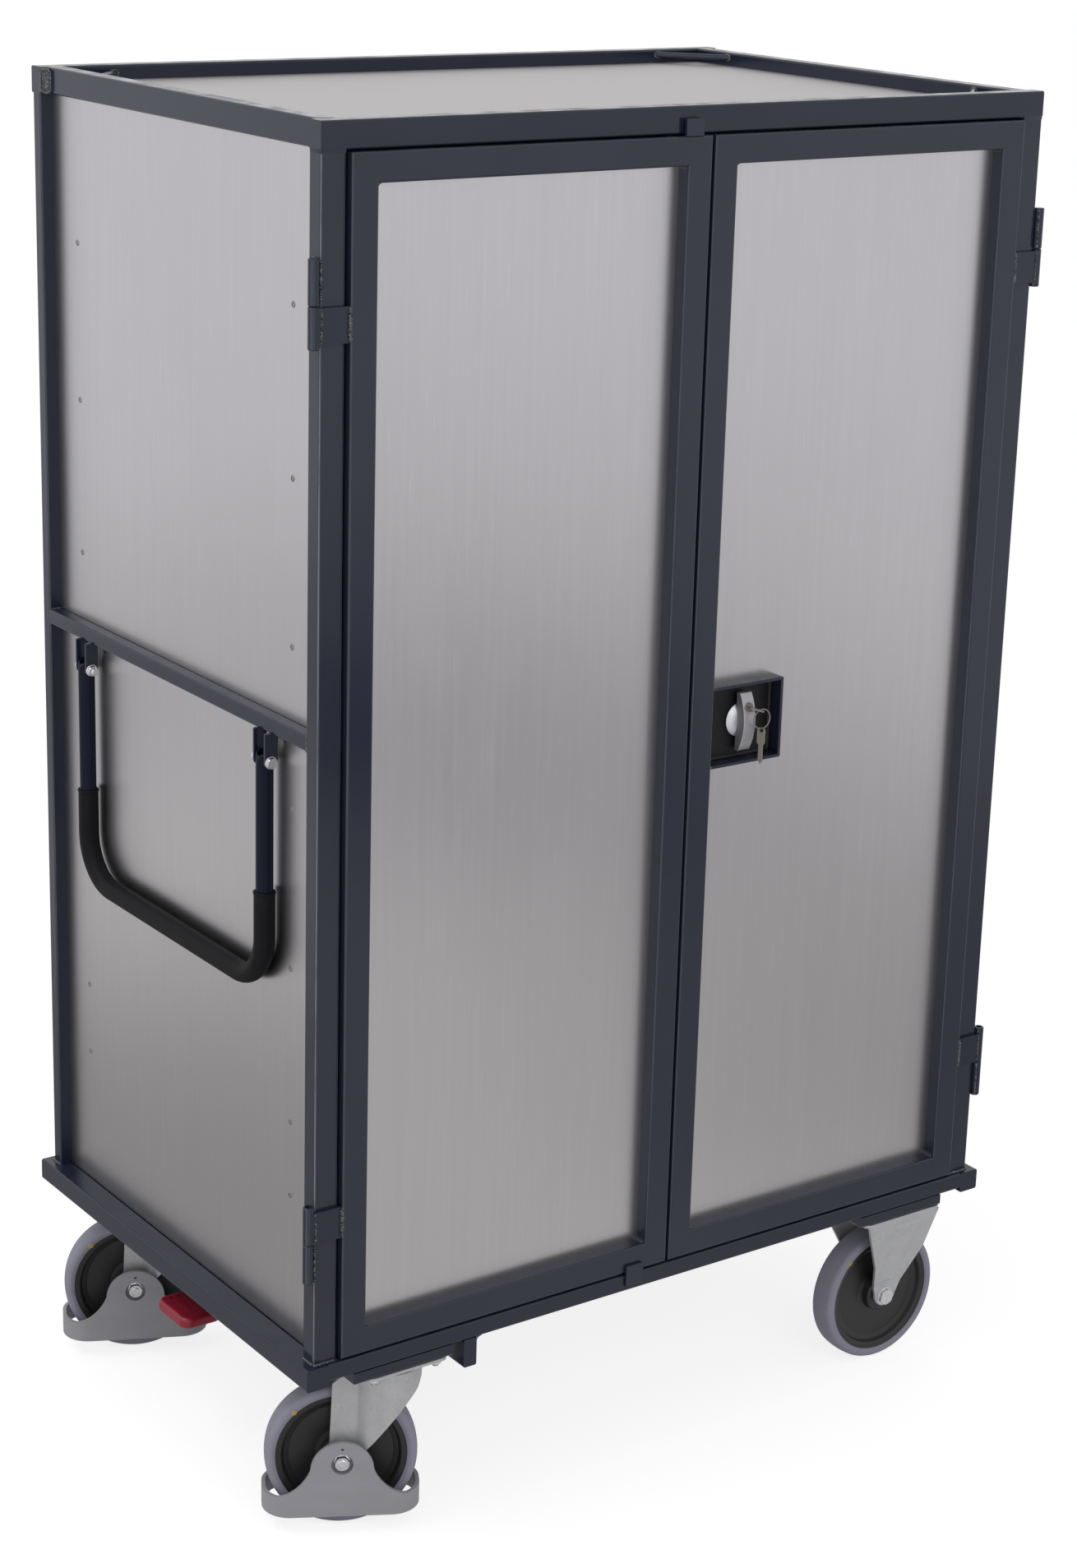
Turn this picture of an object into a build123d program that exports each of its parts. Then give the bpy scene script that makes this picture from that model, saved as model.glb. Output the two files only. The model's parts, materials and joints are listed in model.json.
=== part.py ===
from build123d import *
import math
import os

os.makedirs("parts", exist_ok=True)

# Overall sizes in mm. Doors face -Y, the handle end is -X, Z is up from the floor.
BASE_X = 565.0
BASE_IN = 533.0
BASE_Y = 369.0
BASE_TOP = 280.0
LONG_RAIL_LOW = 256.5
CARRIER_LOW = 240.0
POST_X = 550.5
POST_FRONT = -360.0
RIM_LOW = 1784.0
RIM_TOP = 1818.0
RIM_DEPTH = 25.0
TOP_SHEET = 1799.0
SHEET = 1.5
CAP = 2.0
RUN_FIT = 0.05

# Side and back sheets, behind the faces of the posts.
SIDE_FACE = 533.0
BACK_FACE = 340.0
MID_RAIL = (1079.0, 1099.0)
RIVET_Y = 272.0

# Doors.
DOOR_OUT = 514.0
DOOR_IN = 2.0
DOOR_Z = (282.0, 1782.5)
DOOR_Y = (-368.0, -342.0)
DOOR_TUBE = 36.0
DOOR_SHEET_Y = (-348.0, -346.5)
HINGE_X = 557.9
HINGE_Y = -358.5
BARREL_R = 7.0
PIN_R = 4.0

# Lock on the right door.
LOCK_X = 95.5
LOCK_Z = 1027.0
KEY_Z = 1048.0
ROD_Y = -325.0
ROD_R = 4.0
ROD_HOLE_R = 6.5

# Handle.
HANDLE_X = -549.0
HANDLE_Y = 235.0
PIVOT_Z = 1042.0
HANDLE_LOW = 748.0
HANDLE_R = 11.0
GRIP_R = 13.5
GRIP_TOP = 872.0
BEND_R = 65.0

# Casters. A swivel caster has its kingpin's Y and the angle that it is turned to.
WHEEL_R = 100.0
CARRIER_X = 421.0
KINGPIN_X = -411.0
SWIVELS = {"front": (-309.8, -28.6), "back": (260.9, -25.6)}
KINGPIN_ROWS = [y for y, turn in SWIVELS.values()]
FIXED_X = 428.0
FIXED_ROWS = (-311.0, 311.0)
OFFSET = 57.0
AXLE_R = 6.0
PLATE_LOW = 236.0
PLATE_Y = 58.0
SWIVEL_PLATE_X = 60.0
SWIVEL_BOLT = (47.0, 46.0)
FIXED_PLATE_X = 70.0
FIXED_BOLT = (52.5, 36.0)

# Brake.
SHAFT_X = KINGPIN_X + 20.0
SHAFT_Z = 252.0
SHAFT_R = 5.0
PLUNGER_R = 5.0
CAM_HOLE_R = 10.0

SECTION = {"X": (Plane.YZ, 1, 2, 0), "Y": (Plane.ZX, 2, 0, 1), "Z": (Plane.XY, 0, 1, 2)}
TURN = {"X": Rot(0, 90, 0), "Y": Rot(-90, 0, 0), "Z": Rot(0, 0, 0)}
UPRIGHT = (Align.CENTER, Align.CENTER, Align.MIN)


def block(x, y, z):
    """Box that fills three (low, high) ranges."""
    ranges = [sorted(x), sorted(y), sorted(z)]
    size = [high - low for low, high in ranges]
    centre = [(high + low) / 2 for low, high in ranges]
    return Pos(*centre) * Box(*size)


def tube(axis, x, y, z, wall=2.0, radius=3.0):
    """Open rectangular tube along an axis that fills three (low, high) ranges."""
    plane, u, v, n = SECTION[axis]
    ranges = [sorted(x), sorted(y), sorted(z)]
    size = [high - low for low, high in ranges]
    start = [(high + low) / 2 for low, high in ranges]
    start[n] = ranges[n][0]
    ring = RectangleRounded(size[u], size[v], radius)
    ring -= RectangleRounded(size[u] - 2 * wall, size[v] - 2 * wall, max(radius - wall, 0.6))
    return Pos(*start) * extrude(plane * ring, size[n])


def plate(axis, x, y, z, radius):
    """Flat plate with rounded corners, thin along an axis, that fills three ranges."""
    plane, u, v, n = SECTION[axis]
    ranges = [sorted(x), sorted(y), sorted(z)]
    size = [high - low for low, high in ranges]
    start = [(high + low) / 2 for low, high in ranges]
    start[n] = ranges[n][0]
    return Pos(*start) * extrude(plane * RectangleRounded(size[u], size[v], radius), size[n])


def rod(axis, radius, start, length):
    """Cylinder from a point along an axis."""
    return Pos(*start) * TURN[axis] * Cylinder(radius, length, align=UPRIGHT)


def hexagon(flats, height, low=0.0):
    """Six-sided nut or head round Z."""
    return Pos(0, 0, low) * extrude(RegularPolygon(flats / 2, 6, major_radius=False), height)


def bolt(grip, shank, flats, head, nut, tail):
    """Bolt along Z with its head under z = 0 and its nut above the grip."""
    body = hexagon(flats, head, -head)
    body += Cylinder(shank, grip + nut + tail, align=UPRIGHT)
    body += hexagon(flats, nut, grip)
    return body


def group(pieces):
    """Separate solids that share one node."""
    return Compound(children=[solid for piece in pieces for solid in piece.solids()])


def side_prism(points, y):
    """Prism along Y over a closed outline of (x, z) points."""
    outline = make_face(Polyline(*points, close=True))
    return Pos(0, max(y), 0) * extrude(Plane.XZ * outline, max(y) - min(y))


nodes = {}

# Base frame.
nodes["base_end_rails"] = group(
    tube("Y", (s * BASE_IN, s * BASE_X), (CAP - BASE_Y, BASE_Y - CAP), (250, BASE_TOP), 2.5)
    for s in (-1, 1)
)
nodes["base_long_rails"] = group(
    tube("X", (-BASE_IN, BASE_IN), (s * 344, s * BASE_Y), (LONG_RAIL_LOW, BASE_TOP))
    for s in (-1, 1)
)
CROSS_X = (-329.0, -309.0)
CROSS_Z = (217.0, LONG_RAIL_LOW)
nodes["base_cross_member"] = tube("Y", CROSS_X, (CAP - BASE_Y, BASE_Y - CAP), CROSS_Z, 2.0, 2.5)


def end_caps(x, z, radius):
    """Pair of plates that close a tube along Y at the front and back of the base."""
    return [plate("Y", x, (s * (BASE_Y - CAP), s * BASE_Y), z, radius) for s in (-1, 1)]


caps = end_caps(CROSS_X, CROSS_Z, 2.5)
for s in (-1, 1):
    caps += end_caps((s * BASE_IN, s * BASE_X), (250, BASE_TOP), 3.0)
    for t in (-1, 1):
        rim_y = (t * 360, t * (360 - RIM_DEPTH))
        caps.append(plate("X", (s * (POST_X - CAP), s * POST_X), rim_y, (RIM_LOW, RIM_TOP), 3.0))
nodes["tube_caps"] = group(caps)


def carrier(centre):
    """Folded tray across the base that two casters are bolted under."""
    x = (centre - 75, centre + 75)
    tray = block(x, (-BASE_Y, BASE_Y), (CARRIER_LOW, LONG_RAIL_LOW))
    tray = fillet(tray.edges().group_by(Axis.Z)[0], 4)
    inner_y = BASE_Y - 3
    return tray - block((x[0] + 3, x[1] - 3), (-inner_y, inner_y), (CARRIER_LOW + 4, 260))


def bolt_places(x, rows, reach):
    """Places of the plate bolts of the casters at one end."""
    return [(x + i * reach[0], y + j * reach[1]) for y in rows for i in (-1, 1) for j in (-1, 1)]


swivel_bolts = bolt_places(KINGPIN_X, KINGPIN_ROWS, SWIVEL_BOLT)
fixed_bolts = bolt_places(FIXED_X, FIXED_ROWS, FIXED_BOLT)
swivel_carrier = carrier(-CARRIER_X)
fixed_carrier = carrier(CARRIER_X)
for x, y in swivel_bolts:
    swivel_carrier -= rod("Z", 4.6, (x, y, 235), 15)
for x, y in fixed_bolts:
    fixed_carrier -= rod("Z", 4.6, (x, y, 235), 15)
for y in KINGPIN_ROWS:
    swivel_carrier -= rod("Z", CAM_HOLE_R, (KINGPIN_X, y, 235), 15)
for y in (-215, -70, 70, 215):
    bearing = block((SHAFT_X - 9, SHAFT_X + 9), (y - 6, y + 6), (CARRIER_LOW + 4, SHAFT_Z))
    bearing += rod("Y", 9, (SHAFT_X, y - 6, SHAFT_Z), 12) & block(
        (SHAFT_X - 9, SHAFT_X + 9), (y - 6, y + 6), (CARRIER_LOW + 4, SHAFT_Z + 9)
    )
    swivel_carrier += bearing
swivel_carrier -= rod("Y", SHAFT_R + RUN_FIT, (SHAFT_X, -240, SHAFT_Z), 480)
swivel_carrier -= block((-478, SHAFT_X + 13), (-11, 11), (235, CARRIER_LOW + 5))
nodes["caster_carriers"] = group([swivel_carrier, fixed_carrier])

floor = block((-531.4, 531.4), (-341, 337), (BASE_TOP, BASE_TOP + SHEET))
for s in (-1, 1):
    floor -= block((s * 516.8, s * 560), (-345, -333.8), (BASE_TOP - 1, BASE_TOP + 3))
floor -= rod("Z", ROD_HOLE_R, (LOCK_X, ROD_Y, BASE_TOP - 1), 4)
nodes["floor_panel"] = floor

# Cabinet frame.
nodes["front_posts"] = group(
    tube("Z", (s * 517, s * POST_X), (POST_FRONT, -334), (BASE_TOP, RIM_LOW)) for s in (-1, 1)
)
nodes["back_posts"] = group(
    tube("Z", (s * 530.5, s * POST_X), (337, 357), (BASE_TOP, RIM_LOW), 2.0, 2.5)
    for s in (-1, 1)
)
nodes["rim_long_rails"] = group(
    tube("X", (CAP - POST_X, POST_X - CAP), (s * 335, s * 360), (RIM_LOW, RIM_TOP))
    for s in (-1, 1)
)
RIM_OUT = 541.0
RIM_IN = RIM_OUT - RIM_DEPTH
nodes["rim_end_rails"] = group(
    tube("Y", (s * RIM_IN, s * RIM_OUT), (-335, 335), (RIM_LOW, RIM_TOP)) for s in (-1, 1)
)

# Round rods across the inner corners of the rim, flush with its inner faces, each with its leg and height.
CORNER_RODS = {(-1, -1): (60.0, 1803.2), (-1, 1): (72.0, 1807.0)}
CORNER_RODS |= {(1, -1): (72.0, 1810.5), (1, 1): (72.0, 1810.5)}
rim_well = block((-RIM_IN, RIM_IN), (-335, 335), (TOP_SHEET, RIM_TOP + 10))
corner_rods = []
for (s, t), (rod_leg, rod_z) in CORNER_RODS.items():
    middle = Pos(s * (RIM_IN - rod_leg / 2), t * (335 - rod_leg / 2), rod_z)
    corner_rods.append((middle * Rot(0, 0, -45 * s * t) * Rot(0, 90, 0) * Cylinder(4, 140)) & rim_well)
nodes["rim_corner_rods"] = group(corner_rods)
nodes["top_panel"] = block((-RIM_IN, RIM_IN), (-335, 335), (TOP_SHEET - SHEET, TOP_SHEET))

nodes["side_panels"] = group(
    block((s * (SIDE_FACE - SHEET), s * SIDE_FACE), (-334, 337), (BASE_TOP, RIM_LOW))
    for s in (-1, 1)
)
nodes["back_panel"] = block((-530.4, 530.4), (BACK_FACE - SHEET, BACK_FACE), (BASE_TOP, RIM_LOW))
mid_rails = [tube("Y", (s * SIDE_FACE, s * POST_X), (-334, 337), MID_RAIL, 1.5, 2.0) for s in (-1, 1)]
mid_rails.append(tube("X", (-530.5, 530.5), (BACK_FACE, 357), MID_RAIL, 1.5, 2.0))
nodes["mid_rails"] = group(mid_rails)

# Slotted shelf rails inside the ends, with clips and folded shelves.
SHELF_TOPS = (640.0, 1000.0, 1360.0)
SHELF_LIP = 25.0
RAIL_IN = SIDE_FACE - SHEET - 10
rails = []
clips = []
for s in (-1, 1):
    for y in (-RIVET_Y, RIVET_Y):
        rail = block((s * RAIL_IN, s * (RAIL_IN + 10)), (y - 12.5, y + 12.5), (440, 1640))
        rail -= block((s * (RAIL_IN + 2), s * (RAIL_IN + 11)), (y - 10.5, y + 10.5), (430, 1650))
        for i in range(15):
            z = 490 + 75 * i
            rail -= block((s * (RAIL_IN - 1), s * (RAIL_IN + 3)), (y - 2.5, y + 2.5), (z, z + 18))
        rails.append(rail)
        for top in SHELF_TOPS:
            low = top - SHELF_LIP - 12
            tab = block((s * (RAIL_IN - 2), s * RAIL_IN), (y - 9, y + 9), (low, top - 8))
            ledge = block((s * (RAIL_IN - 14), s * RAIL_IN), (y - 9, y + 9), (low, top - SHELF_LIP))
            clips.append(tab + ledge)
nodes["shelf_rails"] = group(rails)
nodes["shelf_clips"] = group(clips)


def shelf(top):
    """Folded sheet shelf with lips turned down all round."""
    x = RAIL_IN - 3
    tray = block((-x, x), (-296, 332), (top - SHELF_LIP, top))
    tray = fillet(tray.edges().group_by(Axis.Z)[-1].sort_by(Axis.Y)[0], 2)
    return tray - block((SHEET - x, x - SHEET), (SHEET - 296, 332 - SHEET), (top - 40, top - SHEET))


nodes["shelves"] = group(shelf(top) for top in SHELF_TOPS)

# Hinges. The door half hangs under the post half at the top and stands on it at the bottom.
UPPER_HINGE = ((1612.2, 1666.0), (1562.0, 1611.8), (1568.0, 1610.0))
LOWER_HINGE = ((396.0, 448.8), (449.2, 500.0), (450.0, 492.0))
HINGES = (UPPER_HINGE, LOWER_HINGE)
knuckles = []
for s in (-1, 1):
    for post_z, door_z, strap_z in HINGES:
        centre = (s * HINGE_X, HINGE_Y)
        knuckle = rod("Z", BARREL_R, (*centre, post_z[0]), post_z[1] - post_z[0])
        knuckle = chamfer(knuckle.edges().filter_by(GeomType.CIRCLE), 1)
        leaf_y = (HINGE_Y, HINGE_Y + 16)
        knuckle += block((s * POST_X, s * (POST_X + 4.5)), leaf_y, (post_z[0] + 2, post_z[1] - 2))
        pin_low = min(post_z[0] + 4, door_z[0] + 4)
        pin_high = max(post_z[1] - 4, door_z[1] - 4)
        knuckle += rod("Z", PIN_R, (*centre, pin_low), pin_high - pin_low)
        knuckles.append(knuckle)
nodes["hinge_knuckles"] = group(knuckles)


def hinge_leaves(s):
    """Two barrel halves with straps that reach across the post to the door."""
    leaves = []
    for post_z, door_z, strap_z in HINGES:
        centre = (s * HINGE_X, HINGE_Y)
        leaf = rod("Z", BARREL_R, (*centre, door_z[0]), door_z[1] - door_z[0])
        leaf = chamfer(leaf.edges().filter_by(GeomType.CIRCLE), 1)
        leaf += plate("Y", (s * DOOR_OUT, s * HINGE_X), (-365.5, -361), strap_z, 0.8)
        leaf -= rod("Z", PIN_R + RUN_FIT, (*centre, door_z[0] - 1), door_z[1] - door_z[0] + 2)
        leaves.append(leaf)
    return group(leaves)


nodes["left_door_hinge_leaves"] = hinge_leaves(-1)
nodes["right_door_hinge_leaves"] = hinge_leaves(1)


def door_frame(s):
    """Four tubes with mitred ends: two stiles and two rails."""
    x = sorted((s * DOOR_IN, s * DOOR_OUT))
    z = DOOR_Z
    w = DOOR_TUBE
    inner = ((x[0] + w, z[0] + w), (x[1] - w, z[0] + w), (x[1] - w, z[1] - w), (x[0] + w, z[1] - w))
    outer = ((x[0], z[0]), (x[1], z[0]), (x[1], z[1]), (x[0], z[1]))
    runs = (
        ("X", x, (z[0], z[0] + w)),
        ("Z", (x[1] - w, x[1]), z),
        ("X", x, (z[1] - w, z[1])),
        ("Z", (x[0], x[0] + w), z),
    )
    pieces = []
    for i, (axis, run_x, run_z) in enumerate(runs):
        j = (i + 1) % 4
        mitre = side_prism((outer[i], outer[j], inner[j], inner[i]), (-380, -330))
        pieces.append(tube(axis, run_x, DOOR_Y, run_z) & mitre)
    return pieces


def door_sheet(s):
    """Sheet set back in the door frame."""
    x = (s * (DOOR_IN + DOOR_TUBE), s * (DOOR_OUT - DOOR_TUBE))
    return block(x, DOOR_SHEET_Y, (DOOR_Z[0] + DOOR_TUBE, DOOR_Z[1] - DOOR_TUBE))


top_tab = block((-43.5, -17), (-368, -363.5), (DOOR_Z[1], 1803.5))
top_tab = fillet(top_tab.edges().filter_by(Axis.Y).group_by(Axis.Z)[-1], 2)
low_tab = block((-71.5, -43.5), (-372.4, -369.4), (264, 294))
low_tab = fillet(low_tab.edges().filter_by(Axis.Y), 2)
low_tab += block((-70, -45), (-369.6, DOOR_Y[0]), (284, 293))
nodes["left_door_frame"] = group(door_frame(-1) + [top_tab, low_tab])
nodes["left_door_panel"] = door_sheet(-1)
nodes["right_door_frame"] = group(door_frame(1))
nodes["right_door_panel"] = door_sheet(1) - rod("Y", 6, (LOCK_X, -355, LOCK_Z), 20)

# Lock box of flat strip, closed on its left by the door stile.
BOX_X = (DOOR_IN + DOOR_TUBE, 152.0)
BOX_Z = (972.0, 1081.0)
lock_box = block(BOX_X, (DOOR_Y[0], DOOR_SHEET_Y[0]), BOX_Z)
lock_box = fillet(lock_box.edges().filter_by(Axis.Y).group_by(Axis.X)[-1], 2)
lock_box -= block((BOX_X[0] - 1, BOX_X[1] - 4), (-370, -340), (BOX_Z[0] + 4, BOX_Z[1] - 4))
nodes["lock_box"] = lock_box
PLATE_FRONT = -349.0
lock_plate = plate(
    "Y", (BOX_X[0] + 0.3, BOX_X[1] - 4.3), (PLATE_FRONT, DOOR_SHEET_Y[0]), (BOX_Z[0] + 4.3, BOX_Z[1] - 4.3), 3
)
nodes["lock_plate"] = lock_plate - rod("Y", 5.4, (LOCK_X, -355, LOCK_Z), 10)

lock_case = block((LOCK_X - 25, LOCK_X + 25), (DOOR_SHEET_Y[1], -312), (977, 1077))
lock_case = fillet(lock_case.edges().filter_by(Axis.Z).group_by(Axis.Y)[-1], 5)
lock_case -= rod("Y", 5 + RUN_FIT, (LOCK_X, -350, LOCK_Z), 29)
lock_case -= rod("Z", ROD_R + RUN_FIT, (LOCK_X, ROD_Y, 1045), 40)
lock_case -= rod("Z", ROD_R + RUN_FIT, (LOCK_X, ROD_Y, 970), 40)
nodes["lock_case"] = lock_case

nodes["lock_rod_upper"] = chamfer(
    rod("Z", ROD_R, (LOCK_X, ROD_Y, 1050), 724).edges().group_by(Axis.Z)[-1], 1.5
)
nodes["lock_rod_lower"] = chamfer(rod("Z", ROD_R, (LOCK_X, ROD_Y, 292), 712).edges().group_by(Axis.Z)[0], 1.5)
guides = []
for low in (1755.0, 302.0):
    guide = block((LOCK_X - 15, LOCK_X + 15), (DOOR_Y[1], -314), (low, low + 6))
    guide = fillet(guide.edges().filter_by(Axis.Z).group_by(Axis.Y)[-1], 6)
    guides.append(guide - rod("Z", ROD_R + 0.3, (LOCK_X, ROD_Y, low - 1), 8))
nodes["rod_guides"] = group(guides)
keeper = block((LOCK_X - 18, LOCK_X + 18), (-335, -311), (1780, RIM_LOW))
keeper += block((LOCK_X - 18, LOCK_X + 18), (-335, -333), (RIM_LOW - 1, 1795))
nodes["lock_keeper"] = keeper - rod("Z", ROD_HOLE_R, (LOCK_X, ROD_Y, 1775), 15)

# Lock knob: domed rosette, a bowed wing with flat ends and a spindle.
DOME = (-350.0, -351.5, -358.5)
DOME_R = 23.0
WING_X = 9.5
WING_Z = 39.0
WING_BACK = -354.5
WING_END = -361.5
WING_FRONT = -372.0
rosette = Polyline((0, DOME[0]), (DOME_R, DOME[0]), (DOME_R, DOME[1]))
rosette += ThreePointArc((DOME_R, DOME[1]), (14, -356.3), (0, DOME[2])) + Line((0, DOME[2]), (0, DOME[0]))
knob = Pos(LOCK_X, 0, LOCK_Z) * revolve(Plane.XY * make_face(rosette), Axis.Y)
wing = Polyline((WING_END, -WING_Z), (WING_BACK, -WING_Z), (WING_BACK, WING_Z), (WING_END, WING_Z))
wing += ThreePointArc((WING_END, WING_Z), (WING_FRONT, 0), (WING_END, -WING_Z))
wing = extrude(Plane.YZ * make_face(wing), WING_X, both=True)
wing = fillet(wing.faces().filter_by(GeomType.CYLINDER).edges(), 1.2)
knob += Pos(LOCK_X, 0, LOCK_Z) * wing
knob += rod("Y", 5, (LOCK_X, -353, LOCK_Z), 31)

# Key with its cylinder plug in the wing, and the ring with the second key.
PLUG_Y = (-369.6, -359.6)
BOW_Y = (-386.0, -373.0)
HANG_Y = -379.0
plug_bore = rod("Y", 6 + RUN_FIT, (LOCK_X, WING_FRONT - 1, KEY_Z), PLUG_Y[1] + 1.4 - WING_FRONT)
nodes["lock_knob"] = knob - plug_bore
plug = rod("Y", 6, (LOCK_X, PLUG_Y[0], KEY_Z), PLUG_Y[1] - PLUG_Y[0])
neck = block((-4, 4), (BOW_Y[1] - 1, PLUG_Y[0] + 1), (-1.1, 1.1))
bow = plate("Z", (-9, 15.5), BOW_Y, (-1.1, 1.1), 6)
bow -= rod("Z", 3.6, (10, HANG_Y, -2), 4)
key_turn = Pos(LOCK_X, 0, KEY_Z) * Rot(0, 20, 0)
nodes["key"] = plug + key_turn * (bow + neck)
RING_R = 13.1
ring_middle = key_turn * Pos(18.5, HANG_Y, -10)
ring = ring_middle * Rot(90, 0, 0) * Torus(RING_R, 0.9)
spare = plate("X", (-1, 1), (-5.5, 5.5), (-20.5, 3.5), 4.5)
spare -= rod("X", 3.1, (-2, 0, 0), 4)
blade = Polyline((-3, -19), (3, -19), (3, -40), (0, -46), (-3, -42), (-3, -19))
spare += extrude(Plane.YZ * make_face(blade), 1, both=True)
spare = Pos(*ring_middle.position) * Pos(0, 0, -RING_R - 1.6) * Rot(0, 0, 25) * spare
nodes["key_ring"] = group([ring, spare])

# Push handle, hung under the mid rail between two pairs of flat bars.
BAR_X = (-557.0, -539.0)
BAR_Y = (11.6, 14.6)
BAR_LOW = 1033.0
brackets = []
pivots = []
for s in (-1, 1):
    y = s * HANDLE_Y
    for t in (-1, 1):
        bar = block(BAR_X, (y + t * BAR_Y[0], y + t * BAR_Y[1]), (BAR_LOW, MID_RAIL[0]))
        bar = fillet(bar.edges().filter_by(Axis.Y).group_by(Axis.Z)[0], 8)
        brackets.append(bar - rod("Y", 4.2, (HANDLE_X, y - 20, PIVOT_Z), 40))
    turn = Rot(-90, 0, 0) if s < 0 else Rot(90, 0, 0)
    pivots.append(Pos(HANDLE_X, y + s * 14.7, PIVOT_Z) * turn * bolt(29.4, 4, 13, 5.5, 6.5, 4))
nodes["handle_brackets"] = group(brackets)
nodes["handle_pivot_bolts"] = group(pivots)


def u_path(top):
    """Centre line of the handle from one leg round the bar to the other leg."""
    return FilletPolyline(
        (HANDLE_X, -HANDLE_Y, top),
        (HANDLE_X, -HANDLE_Y, HANDLE_LOW),
        (HANDLE_X, HANDLE_Y, HANDLE_LOW),
        (HANDLE_X, HANDLE_Y, top),
        radius=BEND_R,
    )


def u_tube(top, radius, inner):
    """Round tube along the handle's centre line."""
    start = Plane(origin=(HANDLE_X, -HANDLE_Y, top), z_dir=(0, 0, -1))
    return sweep(start * (Circle(radius) - Circle(inner)), path=u_path(top))


handle = u_tube(PIVOT_Z + HANDLE_R, HANDLE_R, HANDLE_R - 2)
eye = rod("Y", HANDLE_R, (HANDLE_X, -280, PIVOT_Z), 560)
eye += block((-600, -500), (-280, 280), (700, PIVOT_Z))
handle = handle & eye
handle -= rod("Y", 4 + RUN_FIT, (HANDLE_X, -280, PIVOT_Z), 560)
nodes["push_handle"] = handle
nodes["handle_grip"] = u_tube(GRIP_TOP, GRIP_R, HANDLE_R + 0.1)

# Caster plate bolts.
plate_bolts = []
for x, y in swivel_bolts + fixed_bolts:
    plate_bolts.append(Pos(x, y, CARRIER_LOW + 4) * Rot(180, 0, 0) * bolt(8.0, 4, 13, 5.5, 6.5, 4))
nodes["caster_bolts"] = group(plate_bolts)


def top_plate(reach, holes):
    """Caster plate round its own centre with four bolt holes."""
    body = plate("Z", (-reach, reach), (-PLATE_Y, PLATE_Y), (PLATE_LOW, CARRIER_LOW), 10)
    for x, y in bolt_places(0, (0,), holes):
        body -= rod("Z", 4.6, (x, y, PLATE_LOW - 1), 6)
    return body


# Swivel heads: plate, upper and lower race housings and a hollow kingpin with its nut.
CROWN = (224.0, 228.0)
swivel_plate = top_plate(SWIVEL_PLATE_X, SWIVEL_BOLT)
swivel_plate += Pos(0, 0, CROWN[1] + 0.5) * Cone(36, 40, PLATE_LOW - CROWN[1], align=UPRIGHT)
swivel_plate += rod("Z", 10, (0, 0, 212), 26)
swivel_plate += rod("Z", 24, (0, 0, 218), CROWN[0] - 218.5)
swivel_plate += hexagon(30, 7, 212)
swivel_plate -= rod("Z", PLUNGER_R + RUN_FIT, (0, 0, 205), 40)
nodes["swivel_plates"] = group(Pos(KINGPIN_X, y, 0) * swivel_plate for y in KINGPIN_ROWS)


# Swivel fork, pressed from one sheet: a round head runs back into two flat cheeks, open at the heel.
FORK_OUT = 28.5
FORK_WALL = 4.0
FORK_HEAD_R = 47.5
FORK_HEEL = -OFFSET - 17
FORK_LOW = 80.0


def fork_outline(heel, half, head, bend):
    """Plan of the fork: a circle that two straight cheeks leave with a rounded bend."""
    plan = Pos(heel / 2, 0) * Rectangle(-heel, 2 * half) + Circle(head)
    corners = [v for v in plan.vertices() if v.X > heel + 1]
    return fillet(corners, bend)


fork = Pos(0, 0, FORK_LOW) * extrude(fork_outline(FORK_HEEL, FORK_OUT, FORK_HEAD_R, 8), CROWN[1] - FORK_LOW)
fork = fillet(fork.faces().sort_by(Axis.Z)[-1].edges().filter_by(GeomType.CIRCLE), 3)
hollow = fork_outline(FORK_HEEL - 60, FORK_OUT - FORK_WALL, FORK_HEAD_R - FORK_WALL, 12)
fork -= Pos(0, 0, FORK_LOW) * extrude(hollow, CROWN[0] - FORK_LOW)
fork_side = [(-48, 229), (FORK_HEEL + 4, 208), (FORK_HEEL, 100), (-40, 100), (-33, 106), (-26, 118)]
fork_side += [(-5.5, 146), (8.5, 163.5), (27, 185), (41, 198.5), (46.5, 209.5), (49, 229)]
profile = side_prism(fork_side, (-60, 60))
profile += rod("Y", 17, (-OFFSET, -60, WHEEL_R), 120)
fork = fork & profile
fork -= rod("Y", AXLE_R + 0.1, (-OFFSET, -60, WHEEL_R), 120)
fork -= rod("Z", 10 + RUN_FIT, (0, 0, 215), 20)

# Foot guard: an oblong ring round the wheel with bell-shaped cheeks that hang on the axle.
GUARD = (206.0, 88.0, 38.0)
GUARD_Z = (25.0, 53.0)
GUARD_WALL = 5.0
GUARD_SEAT = 36.0
CHEEK_FOOT = 84.0
CHEEK_R = 41.2
CHEEK_TOP = 131.7
half = GUARD[0] / 2
waist = CHEEK_TOP - CHEEK_R + 1.5
low, high = GUARD_Z
cheek = Polyline((-CHEEK_FOOT, high), (-half - 1, high), (-half - 1, low), (half + 1, low))
cheek += Polyline((half + 1, low), (half + 1, high), (CHEEK_FOOT, high))
cheek += ThreePointArc((CHEEK_FOOT, GUARD_Z[1]), (58, 67), (CHEEK_R, waist))
cheek += ThreePointArc((CHEEK_R, waist), (0, CHEEK_TOP), (-CHEEK_R, waist))
cheek += ThreePointArc((-CHEEK_R, waist), (-58, 67), (-CHEEK_FOOT, GUARD_Z[1]))
guard = extrude(RectangleRounded(*GUARD) - offset(RectangleRounded(*GUARD), -GUARD_WALL), 120)
guard = Pos(0, 0, GUARD_Z[0]) * guard
guard = guard & (Pos(0, 60, 0) * extrude(Plane.XZ * make_face(cheek), 120))
for s in (-1, 1):
    guard += rod("Y", 15.8, (0, min(s * FORK_OUT, s * 41), WHEEL_R), 41 - FORK_OUT)
for s in (-1, 1):
    guard -= rod("Y", 14.3, (0, min(s * GUARD_SEAT, s * 50), WHEEL_R), 50 - GUARD_SEAT)
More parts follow.
